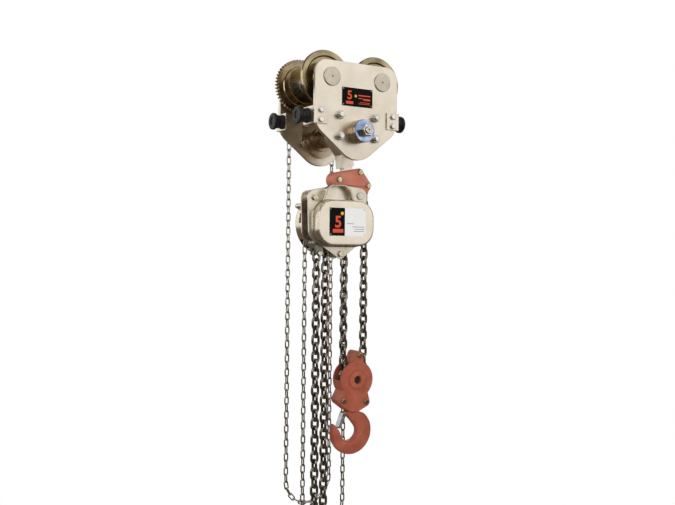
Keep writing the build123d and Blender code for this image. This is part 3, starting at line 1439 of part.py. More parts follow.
with BuildPart() as hook:
    with BuildSketch(shank_axis) as hook_profile:
        with BuildLine():
            back_start = on_circle(back_u, bowl_v, back_radius, 57)
            tip = on_circle(back_u, bowl_v, back_radius, 165)
            back = ThreePointArc(back_start, on_circle(back_u, bowl_v, back_radius, -69), tip)
            point = Line(tip, (-57.0, -150.0))
            lip = Line(point @ 1, (-36.5, -169.0))
            inner_start = on_circle(0, bowl_v, bowl_radius, 190)
            inner_end = on_circle(0, bowl_v, bowl_radius, 42)
            throat = Line(lip @ 1, inner_start)
            bowl = ThreePointArc(inner_start, on_circle(0, bowl_v, bowl_radius, -64), inner_end)
            rise = Line(bowl @ 1, (-17.0, -118.0))
            shoulder = Line(rise @ 1, (-26.0, neck_top - 3.0))
            Polyline(shoulder @ 1, (-22.0, neck_top), (30.0, neck_top), back_start)
        make_face()
    extrude(amount=hook_half_depth, both=True)
    rim = hook.edges().filter_by(lambda edge: abs(abs(edge.center().Y) - hook_half_depth) < 0.01)
    for curved in rim.filter_by(GeomType.CIRCLE):
        chamfer(hook.edges().sort_by_distance(curved.center())[0], 5.0)
    pivot = tilted(*latch_pivot)
    for side in sides.values():
        disc(*pivot, 9.0, *span(side, latch_half - latch_sheet - side_gap, hook_half_depth),
             Mode.SUBTRACT)
    disc(*pivot, 5.2, -(latch_half - latch_sheet - side_gap), latch_half - latch_sheet - side_gap)
    disc(*pivot, pivot_radius + seat, -latch_half, latch_half, Mode.SUBTRACT)
    with BuildSketch(Plane(origin=(*tilted(0, neck_top - 10)[:1], 0, tilted(0, neck_top - 10)[1]),
                           x_dir=(0, 1, 0), z_dir=up)):
        Circle(hook_shank_radius)
    extrude(amount=10 + nut_room_top - neck_top - 3.0)
finish(hook.part, "hook")


def shank_ring(low, high, inner, outer):
    """Ring round the hook's shank between two heights of the leaning block."""
    with BuildPart() as made:
        with BuildSketch(Plane(origin=(tilted(0, low)[0], 0, tilted(0, low)[1]),
                               x_dir=(0, 1, 0), z_dir=up)):
            Circle(outer)
            Circle(inner, mode=Mode.SUBTRACT)
        extrude(amount=high - low)
    return made.part


bearing_height = 9.0
finish(shank_ring(ledge + 0.1, ledge + bearing_height, hook_shank_radius + fit, hook_nut_radius),
       "hook_thrust_bearing")
finish(shank_ring(ledge + bearing_height + 0.1, nut_room_top - 4.0, hook_shank_radius + seat,
                  hook_nut_radius - 1.0), "hook_nut")

# latch and its pin
with BuildPart() as latch_ears:
    x, z = tilted(*latch_pivot)
    end_x, end_z = tilted(*latch_end)
    belt_slab([(x, z, 7.0), (end_x, end_z, 4.0)], -latch_half, latch_half)
    lean_in = atan2(end_z - z, end_x - x)
    shift = 3.5
    inner_start = (x - shift * sin(lean_in), z + shift * cos(lean_in))
    inner_end = (end_x - shift * sin(lean_in), end_z + shift * cos(lean_in))
    belt_slab([(*inner_start, 9.0), (*inner_end, 4.0)], -(latch_half - latch_sheet),
              latch_half - latch_sheet, Mode.SUBTRACT)
    brick(x - 8.0, x + 8.0, -(latch_half - latch_sheet), latch_half - latch_sheet, z + latch_notch,
          z + 8.0, Mode.SUBTRACT)
    disc(x, z, pivot_radius + fit, -latch_half, latch_half, Mode.SUBTRACT)
finish(latch_ears.part, "latch")
with BuildPart() as latch_pin:
    disc(x, z, pivot_radius, -(latch_half + 3.0), latch_half + 3.0)
    disc(x, z, pivot_radius + 2.0, -(latch_half + 3.0), -(latch_half + 0.4))
    disc(x, z, pivot_radius + 2.0, latch_half + 0.4, latch_half + 3.0)
finish(latch_pin.part, "latch_pin")
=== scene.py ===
"""Looks of a geared beam trolley with a chain hoist hung from it. Metres, in the CAD frame."""

import json
import math

import bmesh
import bpy
import numpy as np
from mathutils import Matrix, Vector


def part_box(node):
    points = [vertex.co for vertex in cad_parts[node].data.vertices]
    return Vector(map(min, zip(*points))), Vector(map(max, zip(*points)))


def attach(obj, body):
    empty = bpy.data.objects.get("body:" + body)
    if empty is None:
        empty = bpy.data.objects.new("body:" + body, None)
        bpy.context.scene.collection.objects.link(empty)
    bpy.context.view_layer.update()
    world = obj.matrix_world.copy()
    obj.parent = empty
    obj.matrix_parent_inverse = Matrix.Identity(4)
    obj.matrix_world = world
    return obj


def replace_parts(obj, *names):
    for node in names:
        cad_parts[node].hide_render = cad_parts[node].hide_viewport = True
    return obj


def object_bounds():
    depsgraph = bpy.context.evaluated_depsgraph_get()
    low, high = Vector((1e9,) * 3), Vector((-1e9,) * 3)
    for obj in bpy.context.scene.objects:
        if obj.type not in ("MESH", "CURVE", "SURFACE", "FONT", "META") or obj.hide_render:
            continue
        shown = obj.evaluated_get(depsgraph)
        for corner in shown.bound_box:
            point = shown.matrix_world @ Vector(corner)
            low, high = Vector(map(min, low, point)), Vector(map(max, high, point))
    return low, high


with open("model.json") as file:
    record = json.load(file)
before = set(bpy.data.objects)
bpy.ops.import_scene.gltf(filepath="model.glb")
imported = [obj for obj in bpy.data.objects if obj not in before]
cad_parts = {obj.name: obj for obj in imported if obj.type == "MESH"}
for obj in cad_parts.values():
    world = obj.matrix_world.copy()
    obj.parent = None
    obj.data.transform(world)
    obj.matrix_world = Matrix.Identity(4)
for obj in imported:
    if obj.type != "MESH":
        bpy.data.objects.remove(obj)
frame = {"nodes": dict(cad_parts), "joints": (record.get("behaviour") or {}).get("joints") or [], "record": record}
cad_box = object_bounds()
scene = bpy.context.scene
nodes = frame["nodes"]
MM = 0.001
FULL_TURN = 2 * math.pi


# ---------------------------------------------------------------- shared steps
def add_node(tree, kind, **settings):
    """A new shader node of a kind, with its settings."""
    made = tree.nodes.new(f"ShaderNode{kind}")
    for setting, value in settings.items():
        setattr(made, setting, value)
    return made


def add_piece(name, mesh, body):
    """An object for a mesh that rides on a CAD body."""
    made = bpy.data.objects.new(name, mesh)
    scene.collection.objects.link(made)
    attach(made, body)
    return made


# ---------------------------------------------------------------- camera
yaw = math.radians(30.90)
pitch = math.radians(-0.12)
roll = math.radians(0.567)
sensor_width = 36.0
focal_length = 45.47
distance = 2.790
height = -0.4764
sideways = 0.0055
view_depth = 50.0

right = Vector((math.cos(yaw), -math.sin(yaw), 0.0))
ahead = Vector((math.sin(yaw), math.cos(yaw), 0.0))
up = Vector((0.0, 0.0, 1.0))
eye = sideways * right - distance * ahead + height * up
tipped_up = math.cos(pitch) * up - math.sin(pitch) * ahead
tipped_ahead = math.sin(pitch) * up + math.cos(pitch) * ahead
cam_right = math.cos(roll) * right + math.sin(roll) * tipped_up
cam_up = math.cos(roll) * tipped_up - math.sin(roll) * right
camera = bpy.data.objects.new("camera", bpy.data.cameras.new("camera"))
scene.collection.objects.link(camera)
camera.data.lens = focal_length
camera.data.sensor_width = sensor_width
camera.data.clip_end = view_depth
turn = Matrix((cam_right, cam_up, -tipped_ahead)).transposed().to_4x4()
camera.matrix_world = Matrix.Translation(eye) @ turn
scene.camera = camera


# ---------------------------------------------------------------- light
def area_lamp(name, place, aim, size, power, colour=(1.0, 1.0, 1.0), mirrored=True):
    """A soft rectangular lamp that faces a point, and shows in reflections or not."""
    lamp = bpy.data.lights.new(name, "AREA")
    lamp.shape = "RECTANGLE"
    lamp.size, lamp.size_y = size
    lamp.energy = power
    lamp.color = colour
    thing = bpy.data.objects.new(name, lamp)
    scene.collection.objects.link(thing)
    thing.location = place
    thing.rotation_mode = "QUATERNION"
    thing.rotation_quaternion = (Vector(aim) - Vector(place)).to_track_quat("-Z", "Y")
    thing.visible_glossy = mirrored


middle = (cad_box[0] + cad_box[1]) / 2
reach = 2.6
left_front = middle - reach * 0.55 * right - reach * 0.9 * ahead + 0.9 * up
right_front = middle + reach * 0.95 * right - reach * 0.35 * ahead + 0.3 * up
behind = middle - reach * 0.2 * right + reach * 0.9 * ahead + 1.2 * up
area_lamp("key", left_front, middle + 0.3 * up, (1.2, 1.8), 17.0, (1.0, 0.985, 0.96))
area_lamp("fill", right_front, middle, (0.7, 2.2), 11.0, mirrored=False)
area_lamp("rim", behind, middle + 0.2 * up, (1.6, 0.8), 12.0, mirrored=False)

# What mirrors see, by bearing: soft boxes with dark flags between them. 0 and 1 are the -Y side,
# and the bearing goes by way of -X, +Y and +X. What matt surfaces receive is even.
white = (1.0, 0.99, 0.97, 1.0)
flag = (0.06, 0.042, 0.026, 1.0)
grey = (0.46, 0.43, 0.39, 1.0)
round_the_horizon = [
    (0.00, white), (0.04, white), (0.075, flag), (0.12, flag), (0.15, grey), (0.18, flag),
    (0.30, flag), (0.36, white), (0.46, white), (0.49, flag), (0.54, flag), (0.57, white),
    (0.69, white), (0.73, flag), (0.81, flag), (0.86, white), (0.96, white), (1.00, white),
]
below_to_level = [(0.28, (0.10, 0.085, 0.065, 1.0)), (0.44, (1.0, 1.0, 1.0, 1.0))]
even_light = (0.62, 0.62, 0.62, 1.0)
backdrop = (1.0, 1.0, 1.0, 1.0)


def colour_stops(node, stops):
    """Give a colour ramp node its stops."""
    elements = node.color_ramp.elements
    while len(elements) < len(stops):
        elements.new(0.5)
    for element, (place, colour) in zip(elements, stops):
        element.position = place
        element.color = colour


world = bpy.data.worlds.new("studio")
scene.world = world
world.use_nodes = True
sky = world.node_tree
sky.nodes.clear()
out = add_node(sky, "OutputWorld")
back = add_node(sky, "Background")
sky.links.new(back.outputs[0], out.inputs[0])
where = add_node(sky, "TexCoord")
split = add_node(sky, "SeparateXYZ")
sky.links.new(where.outputs["Generated"], split.inputs[0])
bearing = add_node(sky, "Math", operation="ARCTAN2")
sky.links.new(split.outputs["X"], bearing.inputs[0])
sky.links.new(split.outputs["Y"], bearing.inputs[1])
turned = add_node(sky, "Math", operation="MULTIPLY_ADD")
turned.inputs[1].default_value = 1 / FULL_TURN
turned.inputs[2].default_value = 0.5
sky.links.new(bearing.outputs[0], turned.inputs[0])
flags = add_node(sky, "ValToRGB")
sky.links.new(turned.outputs[0], flags.inputs[0])
flags.color_ramp.interpolation = "EASE"
colour_stops(flags, round_the_horizon)
lift = add_node(sky, "Math", operation="MULTIPLY_ADD")
lift.inputs[1].default_value = 0.5
lift.inputs[2].default_value = 0.5
sky.links.new(split.outputs["Z"], lift.inputs[0])
tilt = add_node(sky, "ValToRGB")
sky.links.new(lift.outputs[0], tilt.inputs[0])
colour_stops(tilt, below_to_level)
seen = add_node(sky, "Mix", data_type="RGBA", blend_type="MULTIPLY")
seen.inputs[0].default_value = 1.0
sky.links.new(flags.outputs[0], seen.inputs[6])
sky.links.new(tilt.outputs[0], seen.inputs[7])
path = add_node(sky, "LightPath")
level = add_node(sky, "Mix", data_type="RGBA")
level.inputs[6].default_value = even_light
sky.links.new(path.outputs["Is Glossy Ray"], level.inputs[0])
sky.links.new(seen.outputs[2], level.inputs[7])
straight = add_node(sky, "Math", operation="MAXIMUM")
sky.links.new(path.outputs["Is Camera Ray"], straight.inputs[0])
sky.links.new(path.outputs["Is Transmission Ray"], straight.inputs[1])
shown = add_node(sky, "Mix", data_type="RGBA")
shown.inputs[7].default_value = backdrop
sky.links.new(straight.outputs[0], shown.inputs[0])
sky.links.new(level.outputs[2], shown.inputs[6])
sky.links.new(shown.outputs[2], back.inputs[0])
scene.view_settings.view_transform = "Standard"


# ---------------------------------------------------------------- materials
def new_material(name):
    """An empty node material with its shader, and the object's own coordinates."""
    material = bpy.data.materials.new(name)
    material.use_nodes = True
    tree = material.node_tree
    shader = tree.nodes["Principled BSDF"]
    coordinates = add_node(tree, "TexCoord")
    return material, tree, shader, coordinates.outputs["Object"]


def noise(tree, coordinates, scale, detail):
    """Value of a noise whose grains are 1/scale metres."""
    made = add_node(tree, "TexNoise")
    made.inputs["Scale"].default_value = scale
    made.inputs["Detail"].default_value = detail
    tree.links.new(coordinates, made.inputs["Vector"])
    return made.outputs["Fac"]


def spread(tree, value, low, high, start=0.3, end=0.7):
    """The same value mapped to another range."""
    made = add_node(tree, "MapRange")
    made.inputs["From Min"].default_value = start
    made.inputs["From Max"].default_value = end
    made.inputs["To Min"].default_value = low
    made.inputs["To Max"].default_value = high
    tree.links.new(value, made.inputs["Value"])
    return made.outputs[0]


def two_colours(tree, value, low, high):
    """Colour that goes from low to high with a value."""
    made = add_node(tree, "Mix", data_type="RGBA")
    made.inputs[6].default_value = (*low, 1.0)
    made.inputs[7].default_value = (*high, 1.0)
    tree.links.new(value, made.inputs[0])
    return made.outputs[2]


def surface(name, dark, light, roughness, metallic=1.0, patch=14.0, grain=900.0, bump=0.06,
            edge=0.0009, coat=0.0, depth=0.0004, shine=None):
    """A metal, paint or rubber: patchy colour, uneven roughness, fine grain and eased edges.

    patch and grain are spots to the metre, and edge and depth are metres.
    """
    material, tree, shader, place = new_material(name)
    blotch = noise(tree, place, patch, 5.0)
    fine = noise(tree, place, grain, 2.0)
    colour = two_colours(tree, spread(tree, blotch, 0.0, 1.0), dark, light)
    tree.links.new(colour, shader.inputs["Base Color"])
    spotty = noise(tree, place, patch * 4.0, 4.0)
    tree.links.new(spread(tree, spotty, *roughness), shader.inputs["Roughness"])
    shader.inputs["Metallic"].default_value = metallic
    shader.inputs["Coat Weight"].default_value = coat
    shader.inputs["Coat Roughness"].default_value = 0.2
    if shine is not None:
        shader.inputs["Specular IOR Level"].default_value = shine
    eased = add_node(tree, "Bevel", samples=4)
    eased.inputs["Radius"].default_value = edge
    rough = add_node(tree, "Bump")
    rough.inputs["Strength"].default_value = bump
    rough.inputs["Distance"].default_value = depth
    tree.links.new(fine, rough.inputs["Height"])
    tree.links.new(eased.outputs[0], rough.inputs["Normal"])
    tree.links.new(rough.outputs[0], shader.inputs["Normal"])
    return material


nickel_plate = surface("satin_nickel", (0.78, 0.70, 0.585), (0.92, 0.84, 0.715), (0.28, 0.40),
                       grain=700.0, bump=0.03)
cover_nickel = surface("cover_nickel", (0.74, 0.67, 0.54), (0.86, 0.79, 0.66), (0.16, 0.24),
                       bump=0.0, edge=0.007)
# Gusset finish: the side plates' nickel painted down to brown, as painted shade and painted reflection on the
# shadowed inner plates.
painted_shade_plate = surface("painted_shade_plate", (0.40, 0.32, 0.22), (0.54, 0.45, 0.34), (0.20, 0.30),
                      patch=7.0, bump=0.03)
# Wheels and hand wheels: yellow zinc with random patches running down to dark brown, partly the plating's own
# uneven tone and partly painted dark reflection.
zinc_and_painted_reflection = surface("zinc_and_painted_reflection", (0.17, 0.125, 0.065), (0.60, 0.49, 0.31), (0.14, 0.22),
                      patch=13.0, bump=0.02)
axle_steel = surface("axle_face", (0.60, 0.53, 0.43), (0.74, 0.67, 0.56), (0.34, 0.46), patch=30.0)
bright_zinc = surface("bright_zinc", (0.62, 0.60, 0.54), (0.86, 0.84, 0.78), (0.08, 0.16),
                      patch=60.0, bump=0.02, edge=0.0025)
blue_zinc = surface("blue_zinc", (0.16, 0.28, 0.56), (0.60, 0.68, 0.80), (0.12, 0.22), patch=40.0)
bronze_zinc = surface("spacer_zinc", (0.42, 0.29, 0.17), (0.68, 0.54, 0.37), (0.22, 0.32),
                      patch=12.0, bump=0.02)
olive_zinc = surface("olive_chromate", (0.42, 0.31, 0.10), (0.78, 0.78, 0.66), (0.08, 0.15),
                     patch=90.0, bump=0.02, edge=0.0025)
ground_steel = surface("ground_steel", (0.50, 0.48, 0.44), (0.72, 0.70, 0.65), (0.16, 0.28),
                       patch=50.0)
gear_steel = surface("gear_steel", (0.26, 0.24, 0.21), (0.46, 0.43, 0.38), (0.26, 0.40),
                     patch=40.0)
blackened = surface("blackened_pin", (0.012, 0.011, 0.010), (0.035, 0.032, 0.030), (0.42, 0.60),
                    metallic=0.3, patch=50.0)
sheave_iron = surface("sheave_iron", (0.05, 0.047, 0.043), (0.13, 0.12, 0.11), (0.42, 0.60),
                      metallic=0.6, patch=50.0, bump=0.2)
bearing_steel = surface("bearing_steel", (0.60, 0.60, 0.61), (0.74, 0.74, 0.75), (0.10, 0.18))
bronze_bush = surface("bronze_bush", (0.52, 0.33, 0.12), (0.72, 0.50, 0.24), (0.22, 0.36))
friction = surface("friction_lining", (0.10, 0.075, 0.055), (0.20, 0.16, 0.12), (0.75, 0.9),
                   metallic=0.0, patch=200.0, bump=0.35)
rubber = surface("buffer_rubber", (0.008, 0.008, 0.009), (0.018, 0.018, 0.020), (0.34, 0.50),
                 metallic=0.0, patch=60.0, bump=0.12, edge=0.0012, shine=0.3)
# Load chain: bright nickel whose colour is painted down to near black in random patches, a painted dark
# reflection; the lamps give the highlights.
load_chain_painted_reflection = surface("load_chain_nickel_painted_dark", (0.08, 0.07, 0.055), (0.50, 0.46, 0.38),
                           (0.05, 0.12), patch=70.0, edge=0.0004, bump=0.02)
hand_chain_steel = surface("hand_chain_zinc", (0.26, 0.24, 0.20), (0.84, 0.82, 0.76), (0.05, 0.12),
                           patch=90.0, edge=0.0003, bump=0.02)
red_oxide = surface("red_enamel", (0.35, 0.075, 0.038), (0.47, 0.120, 0.068), (0.36, 0.52),
                    metallic=0.0, patch=26.0, grain=260.0, bump=0.22, edge=0.0022, coat=0.1,
                    depth=0.0009, shine=0.3)
# Yoke finish: the same red enamel as the hook and block, painted paler as painted light on the yoke.
painted_light_enamel = surface("red_enamel_painted_light", (0.58, 0.180, 0.115), (0.72, 0.255, 0.175), (0.36, 0.52),
                     metallic=0.0, patch=26.0, grain=260.0, bump=0.22, edge=0.0022, coat=0.1,
                     depth=0.0009, shine=0.3)
galvanised = surface("galvanised", (0.42, 0.46, 0.48), (0.72, 0.75, 0.76), (0.22, 0.40),
                     patch=90.0)
cast_drive = surface("drive_casting", (0.28, 0.26, 0.22), (0.44, 0.41, 0.36), (0.36, 0.5),
                     patch=30.0, bump=0.18)
black_print = surface("black_print", (0.004, 0.004, 0.005), (0.007, 0.007, 0.008), (0.55, 0.65),
                      metallic=0.0, bump=0.0, edge=0.0003, shine=0.08)
white_print = surface("white_print", (0.96, 0.955, 0.94), (0.98, 0.975, 0.965), (0.38, 0.48),
                      metallic=0.0, bump=0.0, edge=0.0003)
orange_ink = surface("orange_ink", (0.74, 0.070, 0.020), (0.80, 0.090, 0.028), (0.42, 0.52),
                     metallic=0.0, bump=0.0, edge=0.0001)
yellow_ink = surface("yellow_ink", (0.84, 0.54, 0.02), (0.88, 0.60, 0.03), (0.42, 0.52),
                     metallic=0.0, bump=0.0, edge=0.0001)
grey_ink = surface("grey_ink", (0.16, 0.16, 0.16), (0.22, 0.22, 0.22), (0.44, 0.54), metallic=0.0,
                   bump=0.0, edge=0.0001)

finishes = {
    "side_plate": nickel_plate, "gusset": painted_shade_plate, "wheel": zinc_and_painted_reflection, "axle": axle_steel,
    "fastener": bright_zinc, "blue_washer": blue_zinc, "spacer": bronze_zinc,
    "load_bar": ground_steel, "buffer": rubber, "bracket": nickel_plate,
    "trolley_placard": black_print, "rivet": bright_zinc, "drive_housing": cast_drive,
    "bush": bronze_bush, "hand_wheel": zinc_and_painted_reflection, "chain_guide": ground_steel,
    "hand_chain": hand_chain_steel, "load_chain": load_chain_painted_reflection, "link": nickel_plate,
    "yoke": painted_light_enamel, "hoist_frame": nickel_plate, "hoist_cover": cover_nickel,
    "hoist_placard": white_print, "hoist_fastener": olive_zinc, "pin": ground_steel,
    "dark_pin": blackened, "gear_steel": gear_steel, "sheave": sheave_iron,
    "bearing": bearing_steel, "friction": friction, "anchor": cast_drive, "block": red_oxide,
    "hook": red_oxide, "latch": galvanised,
}
for entry in frame["record"]["subparts"]:
    mesh = nodes[entry["node"]].data
    mesh.materials.clear()
    mesh.materials.append(finishes[entry["material_slot"]])


# ---------------------------------------------------------------- chain links
wire_sides = 12
bend_steps = 9
same_point = 2e-6     # vertices closer than this are one


def mesh_islands(node):
    """Point clouds of the separate solids inside one CAD node."""
    mesh = nodes[node].data
    points = np.empty(3 * len(mesh.vertices))
    mesh.vertices.foreach_get("co", points)
    points = points.reshape(-1, 3)
    edges = np.empty(2 * len(mesh.edges), dtype=np.int32)
    mesh.edges.foreach_get("vertices", edges)
    _, first, merged = np.unique(np.round(points / same_point).astype(np.int64), axis=0,
                                 return_index=True, return_inverse=True)
    merged = merged.reshape(-1)
    start, stop = merged[edges.reshape(-1, 2)].T
    labels = np.arange(len(first))
    while True:
        before = labels.copy()
        lowest = np.minimum(labels[start], labels[stop])
        np.minimum.at(labels, start, lowest)
        np.minimum.at(labels, stop, lowest)
        labels = labels[labels]
        if np.array_equal(labels, before):
            break
    return [points[first[labels == label]] for label in np.unique(labels)]


def link_frame(points):
    """Centre, axes (long, wide, thin) and extents of one link."""
    centre = (points.max(0) + points.min(0)) / 2
    _, _, axes = np.linalg.svd(points - points.mean(0), full_matrices=False)
    along = (points - centre) @ axes.T
    centre = centre + (along.max(0) + along.min(0)) / 2 @ axes
    if np.linalg.det(axes) < 0:
        axes[2] = -axes[2]
    return centre, axes, along.max(0) - along.min(0)


def smooth_chain(node, body, slot_name):
    """Round-wire links, evenly meshed, in the places of a CAD chain's links."""
    placed = [link_frame(points) for points in mesh_islands(node)]
    long, wide, wire = np.median([extent for _, _, extent in placed], axis=0)
    bend = (wide - wire) / 2
    straight = (long - wide) / 2
    ring = []
    for end in (1, -1):
        for step in range(bend_steps + 1):
            angle = math.radians(-90 + 180 * step / bend_steps)
            ring.append((end * (straight + bend * math.cos(angle)), end * bend * math.sin(angle),
                         end * math.cos(angle), end * math.sin(angle)))
    template = []
    for x, y, out_x, out_y in ring:
        for side in range(wire_sides):
            turn = FULL_TURN * side / wire_sides
            template.append((x + out_x * wire / 2 * math.cos(turn),
                             y + out_y * wire / 2 * math.cos(turn),
                             wire / 2 * math.sin(turn)))
    template = np.array(template)
    count = len(ring)
    verts = []
    faces = []
    for centre, axes, _ in placed:
        first = len(verts)
        verts.extend((template @ axes + centre).tolist())
        for i in range(count):
            for j in range(wire_sides):
                after, over = (i + 1) % count, (j + 1) % wire_sides
                faces.append((first + i * wire_sides + j, first + after * wire_sides + j,
                              first + after * wire_sides + over, first + i * wire_sides + over))
    mesh = bpy.data.meshes.new(f"{node}_links")
    mesh.from_pydata(verts, [], faces)
    mesh.validate()
    mesh.shade_smooth()
    mesh.materials.append(finishes[slot_name])
    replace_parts(add_piece(mesh.name, mesh, body), node)


smooth_chain("load_chain", "hoist", "load_chain")
smooth_chain("hoist_hand_chain", "hoist", "hand_chain")
smooth_chain("trolley_hand_chain", "trolley", "hand_chain")


# ---------------------------------------------------------------- forged hook
swivel = next(joint for joint in frame["joints"] if joint["name"] == "hook_swivel")
hook_origin = Vector(swivel["pos_m"])
hook_up = Vector(swivel["axis"]).normalized()
hook_across = Vector((0.0, 1.0, 0.0)).cross(hook_up).normalized()
bowl_drop = 77.0 * MM           # swivel point to the middle of the bowl
bowl_radius = 31.0 * MM
back_radius = 77.5 * MM
back_shift = 12.0 * MM
body_half = 19.5 * MM
neck_radius = 16.9 * MM
neck_low = 60.0 * MM            # above the middle of the bowl, inside the hook's shoulder
neck_end = 6.0 * MM             # the neck stops this far below the top of the CAD hook
neck_sides = 32
section_points = 28
flank_round, edge_round = 0.72, 0.62    # under 1 makes the section fuller than an ellipse
outer_thinning = 0.22           # how much thinner the back is than the bowl's side
tip_thinning = 0.10


def hook_point(u, v):
    """World point from distances across and above the middle of the bowl."""
    return hook_origin + hook_across * u + hook_up * (v - bowl_drop)


def back_at(angle):
    """Point of the hook's back on the line that leaves the bowl's middle at an angle."""
    c, s = math.cos(angle), math.sin(angle)
    reach = back_shift * c + math.sqrt(back_radius ** 2 - (back_shift * s) ** 2)
    return reach * c, reach * s


shank_sections = [
    # inner u and v, outer u and v, half thickness, in millimetres from the bowl's middle
    (-17.0, 66.5, 17.0, 66.5, 17.0),
    (-22.0, 64.0, 36.0, 65.5, 18.5),
    (-23.0, 60.0, 50.0, 64.0, 19.0),
    (-16.0, 53.0, 61.0, 58.0, 19.5),
    (-4.0, 43.0, 70.0, 49.0, 19.5),
    (9.0, 33.0, 77.5, 39.0, 19.5),
]
point_sections = [
    (-36.0, 1.5, -64.5, 6.0, 16.0), (-43.0, 8.5, -65.0, 13.5, 13.5),
    (-50.5, 15.5, -64.0, 19.5, 9.5), (-56.0, 20.5, -61.5, 22.5, 5.0),
]
first_bend, last_bend, bends = 24.0, -168.0, 15


def scaled(listed):
    """Inner point, outer point and half thickness in metres, for each listed section."""
    return [((a * MM, b * MM), (c * MM, d * MM), h * MM) for a, b, c, d, h in listed]


rings = scaled(shank_sections)
for step in range(bends):
    part = step / (bends - 1)
    angle = math.radians(first_bend + (last_bend - first_bend) * part)
    inner = (bowl_radius * math.cos(angle), bowl_radius * math.sin(angle))
    rings.append((inner, back_at(angle), body_half * (1.0 - tip_thinning * part ** 2)))
rings += scaled(point_sections)

hook_mesh = bpy.data.meshes.new("forged_hook")
shape = bmesh.new()
loops = []
for inner, outer, half in rings:
    loop = []
    for side in range(section_points):
        turn = FULL_TURN * side / section_points
        c, s = math.cos(turn), math.sin(turn)
        part = 0.5 - 0.5 * math.copysign(abs(c) ** flank_round, c)
        fall = 1.0 - outer_thinning * part
        depth = half * fall * math.copysign(abs(s) ** edge_round, s)
        u = inner[0] + (outer[0] - inner[0]) * part
        v = inner[1] + (outer[1] - inner[1]) * part
        place = hook_point(u, v)
        place.y = depth
        loop.append(shape.verts.new(place))
    loops.append(loop)
for before, after in zip(loops, loops[1:]):
    for i in range(section_points):
        j = (i + 1) % section_points
        shape.faces.new((before[i], before[j], after[j], after[i]))
shape.faces.new(loops[0])
shape.faces.new(list(reversed(loops[-1])))
neck_top = (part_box("hook")[1].z - hook_point(0, 0).z) / hook_up.z - neck_end
neck = []
for v in (neck_low, neck_top):
    neck.append([])
    for side in range(neck_sides):
        turn = FULL_TURN * side / neck_sides
        place = hook_point(neck_radius * math.cos(turn), v)
        place.y += neck_radius * math.sin(turn)
        neck[-1].append(shape.verts.new(place))
for i in range(neck_sides):
    j = (i + 1) % neck_sides
    shape.faces.new((neck[0][i], neck[0][j], neck[1][j], neck[1][i]))
shape.faces.new(neck[1])
shape.faces.new(list(reversed(neck[0])))
bmesh.ops.recalc_face_normals(shape, faces=shape.faces)
shape.to_mesh(hook_mesh)
shape.free()
hook_mesh.shade_smooth()
hook_mesh.materials.append(red_oxide)
forged_hook = add_piece("forged_hook", hook_mesh, "hook_body")
finer = forged_hook.modifiers.new("finer", "SUBSURF")
finer.levels = finer.render_levels = 1
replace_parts(forged_hook, "hook")


# ---------------------------------------------------------------- placards
print_thickness = 0.15 * MM
print_sink = 0.02 * MM
corner_steps = 6
size_for_height = 1.42          # font size over the height of a numeral
boldness = 0.035                # outline offset over the height of a numeral


def printed_patch(name, centre, size, face_y, corner, ink, body, slot):
    """A thin rounded rectangle of ink on a face that looks towards -Y."""
    mesh = bpy.data.meshes.new(name)
    shape = bmesh.new()
    half_x, half_z = size[0] / 2 - corner, size[1] / 2 - corner
    ring = []
    for quarter, (sx, sz) in enumerate(((1, 1), (-1, 1), (-1, -1), (1, -1))):
        for step in range(corner_steps + 1):
            angle = math.radians(90 * quarter + 90 * step / corner_steps)
            ring.append(shape.verts.new((
                centre[0] + sx * half_x + corner * math.cos(angle),
                face_y - print_thickness,
                centre[1] + sz * half_z + corner * math.sin(angle),
            )))
    face = shape.faces.new(ring)
    pulled = bmesh.ops.extrude_face_region(shape, geom=[face])
    for vert in pulled["geom"]:
        if isinstance(vert, bmesh.types.BMVert):
            vert.co.y = face_y + print_sink
    bmesh.ops.recalc_face_normals(shape, faces=shape.faces)
    shape.to_mesh(mesh)
    shape.free()
    mesh.materials.append(ink)
    add_piece(name, mesh, body)


def printed_numeral(name, text, centre, tall, face_y, ink, body, slot):
    """A bold plain numeral of ink, centred on a point of a face that looks towards -Y."""
    curve = bpy.data.curves.new(name, "FONT")
    curve.body = text
    curve.align_x, curve.align_y = "CENTER", "CENTER"
    curve.size = tall * size_for_height
    curve.extrude = print_thickness / 2
    curve.offset = tall * boldness
    letters = bpy.data.objects.new(name, curve)
    scene.collection.objects.link(letters)
    bpy.context.view_layer.update()
    mesh = bpy.data.meshes.new_from_object(letters.evaluated_get(
        bpy.context.evaluated_depsgraph_get()))
    bpy.data.objects.remove(letters)
    across = [v.co.x for v in mesh.vertices]
    tallness = [v.co.y for v in mesh.vertices]
    shift = Vector((-(min(across) + max(across)) / 2, -(min(tallness) + max(tallness)) / 2, 0.0))
    mesh.transform(Matrix.Translation(shift))
    mesh.transform(Matrix.Rotation(math.radians(90), 4, "X"))
    mesh.transform(Matrix.Translation((centre[0], face_y - print_thickness / 2, centre[1])))
    mesh.materials.clear()
    mesh.materials.append(ink)
    add_piece(name, mesh, body)


low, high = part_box("trolley_nameplate")
middle_z = (low.z + high.z) / 2
wide, tall = high.x - low.x, high.z - low.z
on_trolley = dict(face_y=low.y, body="trolley", slot="trolley_placard")
printed_numeral("trolley_numeral", "5", (low.x + wide * 0.24, middle_z + tall * 0.10),
                tall * 0.46, ink=orange_ink, **on_trolley)
printed_patch("trolley_bar_left", (low.x + wide * 0.24, low.z + tall * 0.19),
              (wide * 0.24, tall * 0.15), corner=0.4 * MM, ink=orange_ink, **on_trolley)
printed_patch("trolley_dot", (low.x + wide * 0.44, middle_z + tall * 0.07),
              (8.5 * MM, 8.5 * MM), corner=4.2 * MM, ink=yellow_ink, **on_trolley)
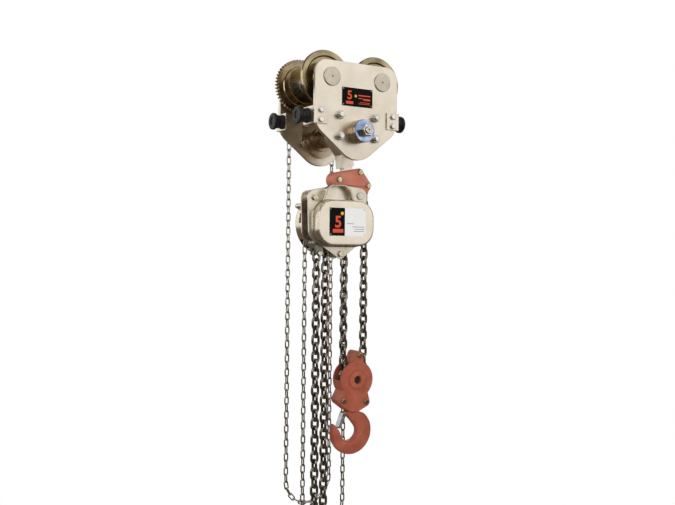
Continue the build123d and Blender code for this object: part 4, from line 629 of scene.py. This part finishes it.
# height of the line, its start, its width and its thickness, as shares of the placard
for index, (level_z, start, width, thick) in enumerate((
        (0.62, 0.53, 0.40, 0.065), (0.46, 0.53, 0.14, 0.045), (0.42, 0.69, 0.24, 0.10),
        (0.25, 0.58, 0.34, 0.03), (0.17, 0.53, 0.39, 0.03))):
    printed_patch(f"trolley_line_{index}",
                  (low.x + wide * (start + width / 2), low.z + tall * level_z),
                  (wide * width, tall * thick), corner=0.3 * MM, ink=orange_ink, **on_trolley)

low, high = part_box("hoist_nameplate")
middle_z = (low.z + high.z) / 2
wide, tall = high.x - low.x, high.z - low.z
on_hoist = dict(face_y=low.y, body="hoist", slot="hoist_placard")
on_black = dict(on_hoist, face_y=low.y - print_thickness)
black_edge = 0.3 * MM
black_width = wide * 0.415
printed_patch("hoist_black_field", (low.x + black_width / 2 + black_edge, middle_z),
              (black_width, tall - 2 * black_edge), corner=2.2 * MM, ink=black_print, **on_hoist)
printed_numeral("hoist_numeral", "5", (low.x + black_width * 0.56, middle_z), tall * 0.40,
                ink=orange_ink, **on_black)
printed_patch("hoist_bar", (low.x + black_width * 0.56, low.z + tall * 0.18),
              (black_width * 0.68, tall * 0.13), corner=0.4 * MM, ink=orange_ink, **on_black)
printed_patch("hoist_dot", (low.x + black_width * 0.83, high.z - tall * 0.20),
              (11.0 * MM, 11.0 * MM), corner=5.4 * MM, ink=yellow_ink, **on_black)
for index, (level_z, start, width) in enumerate((
        (0.44, 0.47, 0.20), (0.33, 0.62, 0.34), (0.25, 0.68, 0.28), (0.17, 0.66, 0.30))):
    printed_patch(f"hoist_line_{index}",
                  (low.x + wide * (start + width / 2), low.z + tall * level_z),
                  (wide * width, tall * 0.018), corner=0.3 * MM, ink=grey_ink, **on_hoist)


# ---------------------------------------------------------------- floor
floor_gap = 0.35                # from the lowest chain link down to the floor
floor_half = 14.0
fade_from, fade_to = 0.3, 1.6   # distance at which the floor starts and ends fading to white
least_fade = 0.35
mirrored_tone = (0.12, 0.10, 0.08, 1.0)
mesh = bpy.data.meshes.new("floor")
shape = bmesh.new()
bmesh.ops.create_grid(shape, x_segments=1, y_segments=1, size=floor_half)
shape.to_mesh(mesh)
shape.free()
floor = bpy.data.objects.new("floor", mesh)
scene.collection.objects.link(floor)
floor.location = (0.0, 0.0, cad_box[0].z - floor_gap)
material, tree, shader, place = new_material("pale_floor")
shader.inputs["Base Color"].default_value = (0.90, 0.90, 0.89, 1.0)
shader.inputs["Roughness"].default_value = 0.8
shader.inputs["Specular IOR Level"].default_value = 0.1
away = add_node(tree, "VectorMath", operation="LENGTH")
tree.links.new(place, away.inputs[0])
fade = spread(tree, away.outputs["Value"], least_fade, 1.0, fade_from, fade_to)
glimpse = add_node(tree, "LightPath")
amount = add_node(tree, "Math", operation="MULTIPLY")
tree.links.new(fade, amount.inputs[0])
tree.links.new(glimpse.outputs["Is Camera Ray"], amount.inputs[1])
plain = add_node(tree, "Emission")
plain.inputs["Color"].default_value = backdrop
blend = add_node(tree, "MixShader")
tree.links.new(amount.outputs[0], blend.inputs[0])
tree.links.new(shader.outputs[0], blend.inputs[1])
tree.links.new(plain.outputs[0], blend.inputs[2])
dark = add_node(tree, "Emission")
dark.inputs["Color"].default_value = mirrored_tone
mirrored_floor = add_node(tree, "MixShader")
tree.links.new(glimpse.outputs["Is Glossy Ray"], mirrored_floor.inputs[0])
tree.links.new(blend.outputs[0], mirrored_floor.inputs[1])
tree.links.new(dark.outputs[0], mirrored_floor.inputs[2])
tree.links.new(mirrored_floor.outputs[0], tree.nodes["Material Output"].inputs["Surface"])
mesh.materials.append(material)
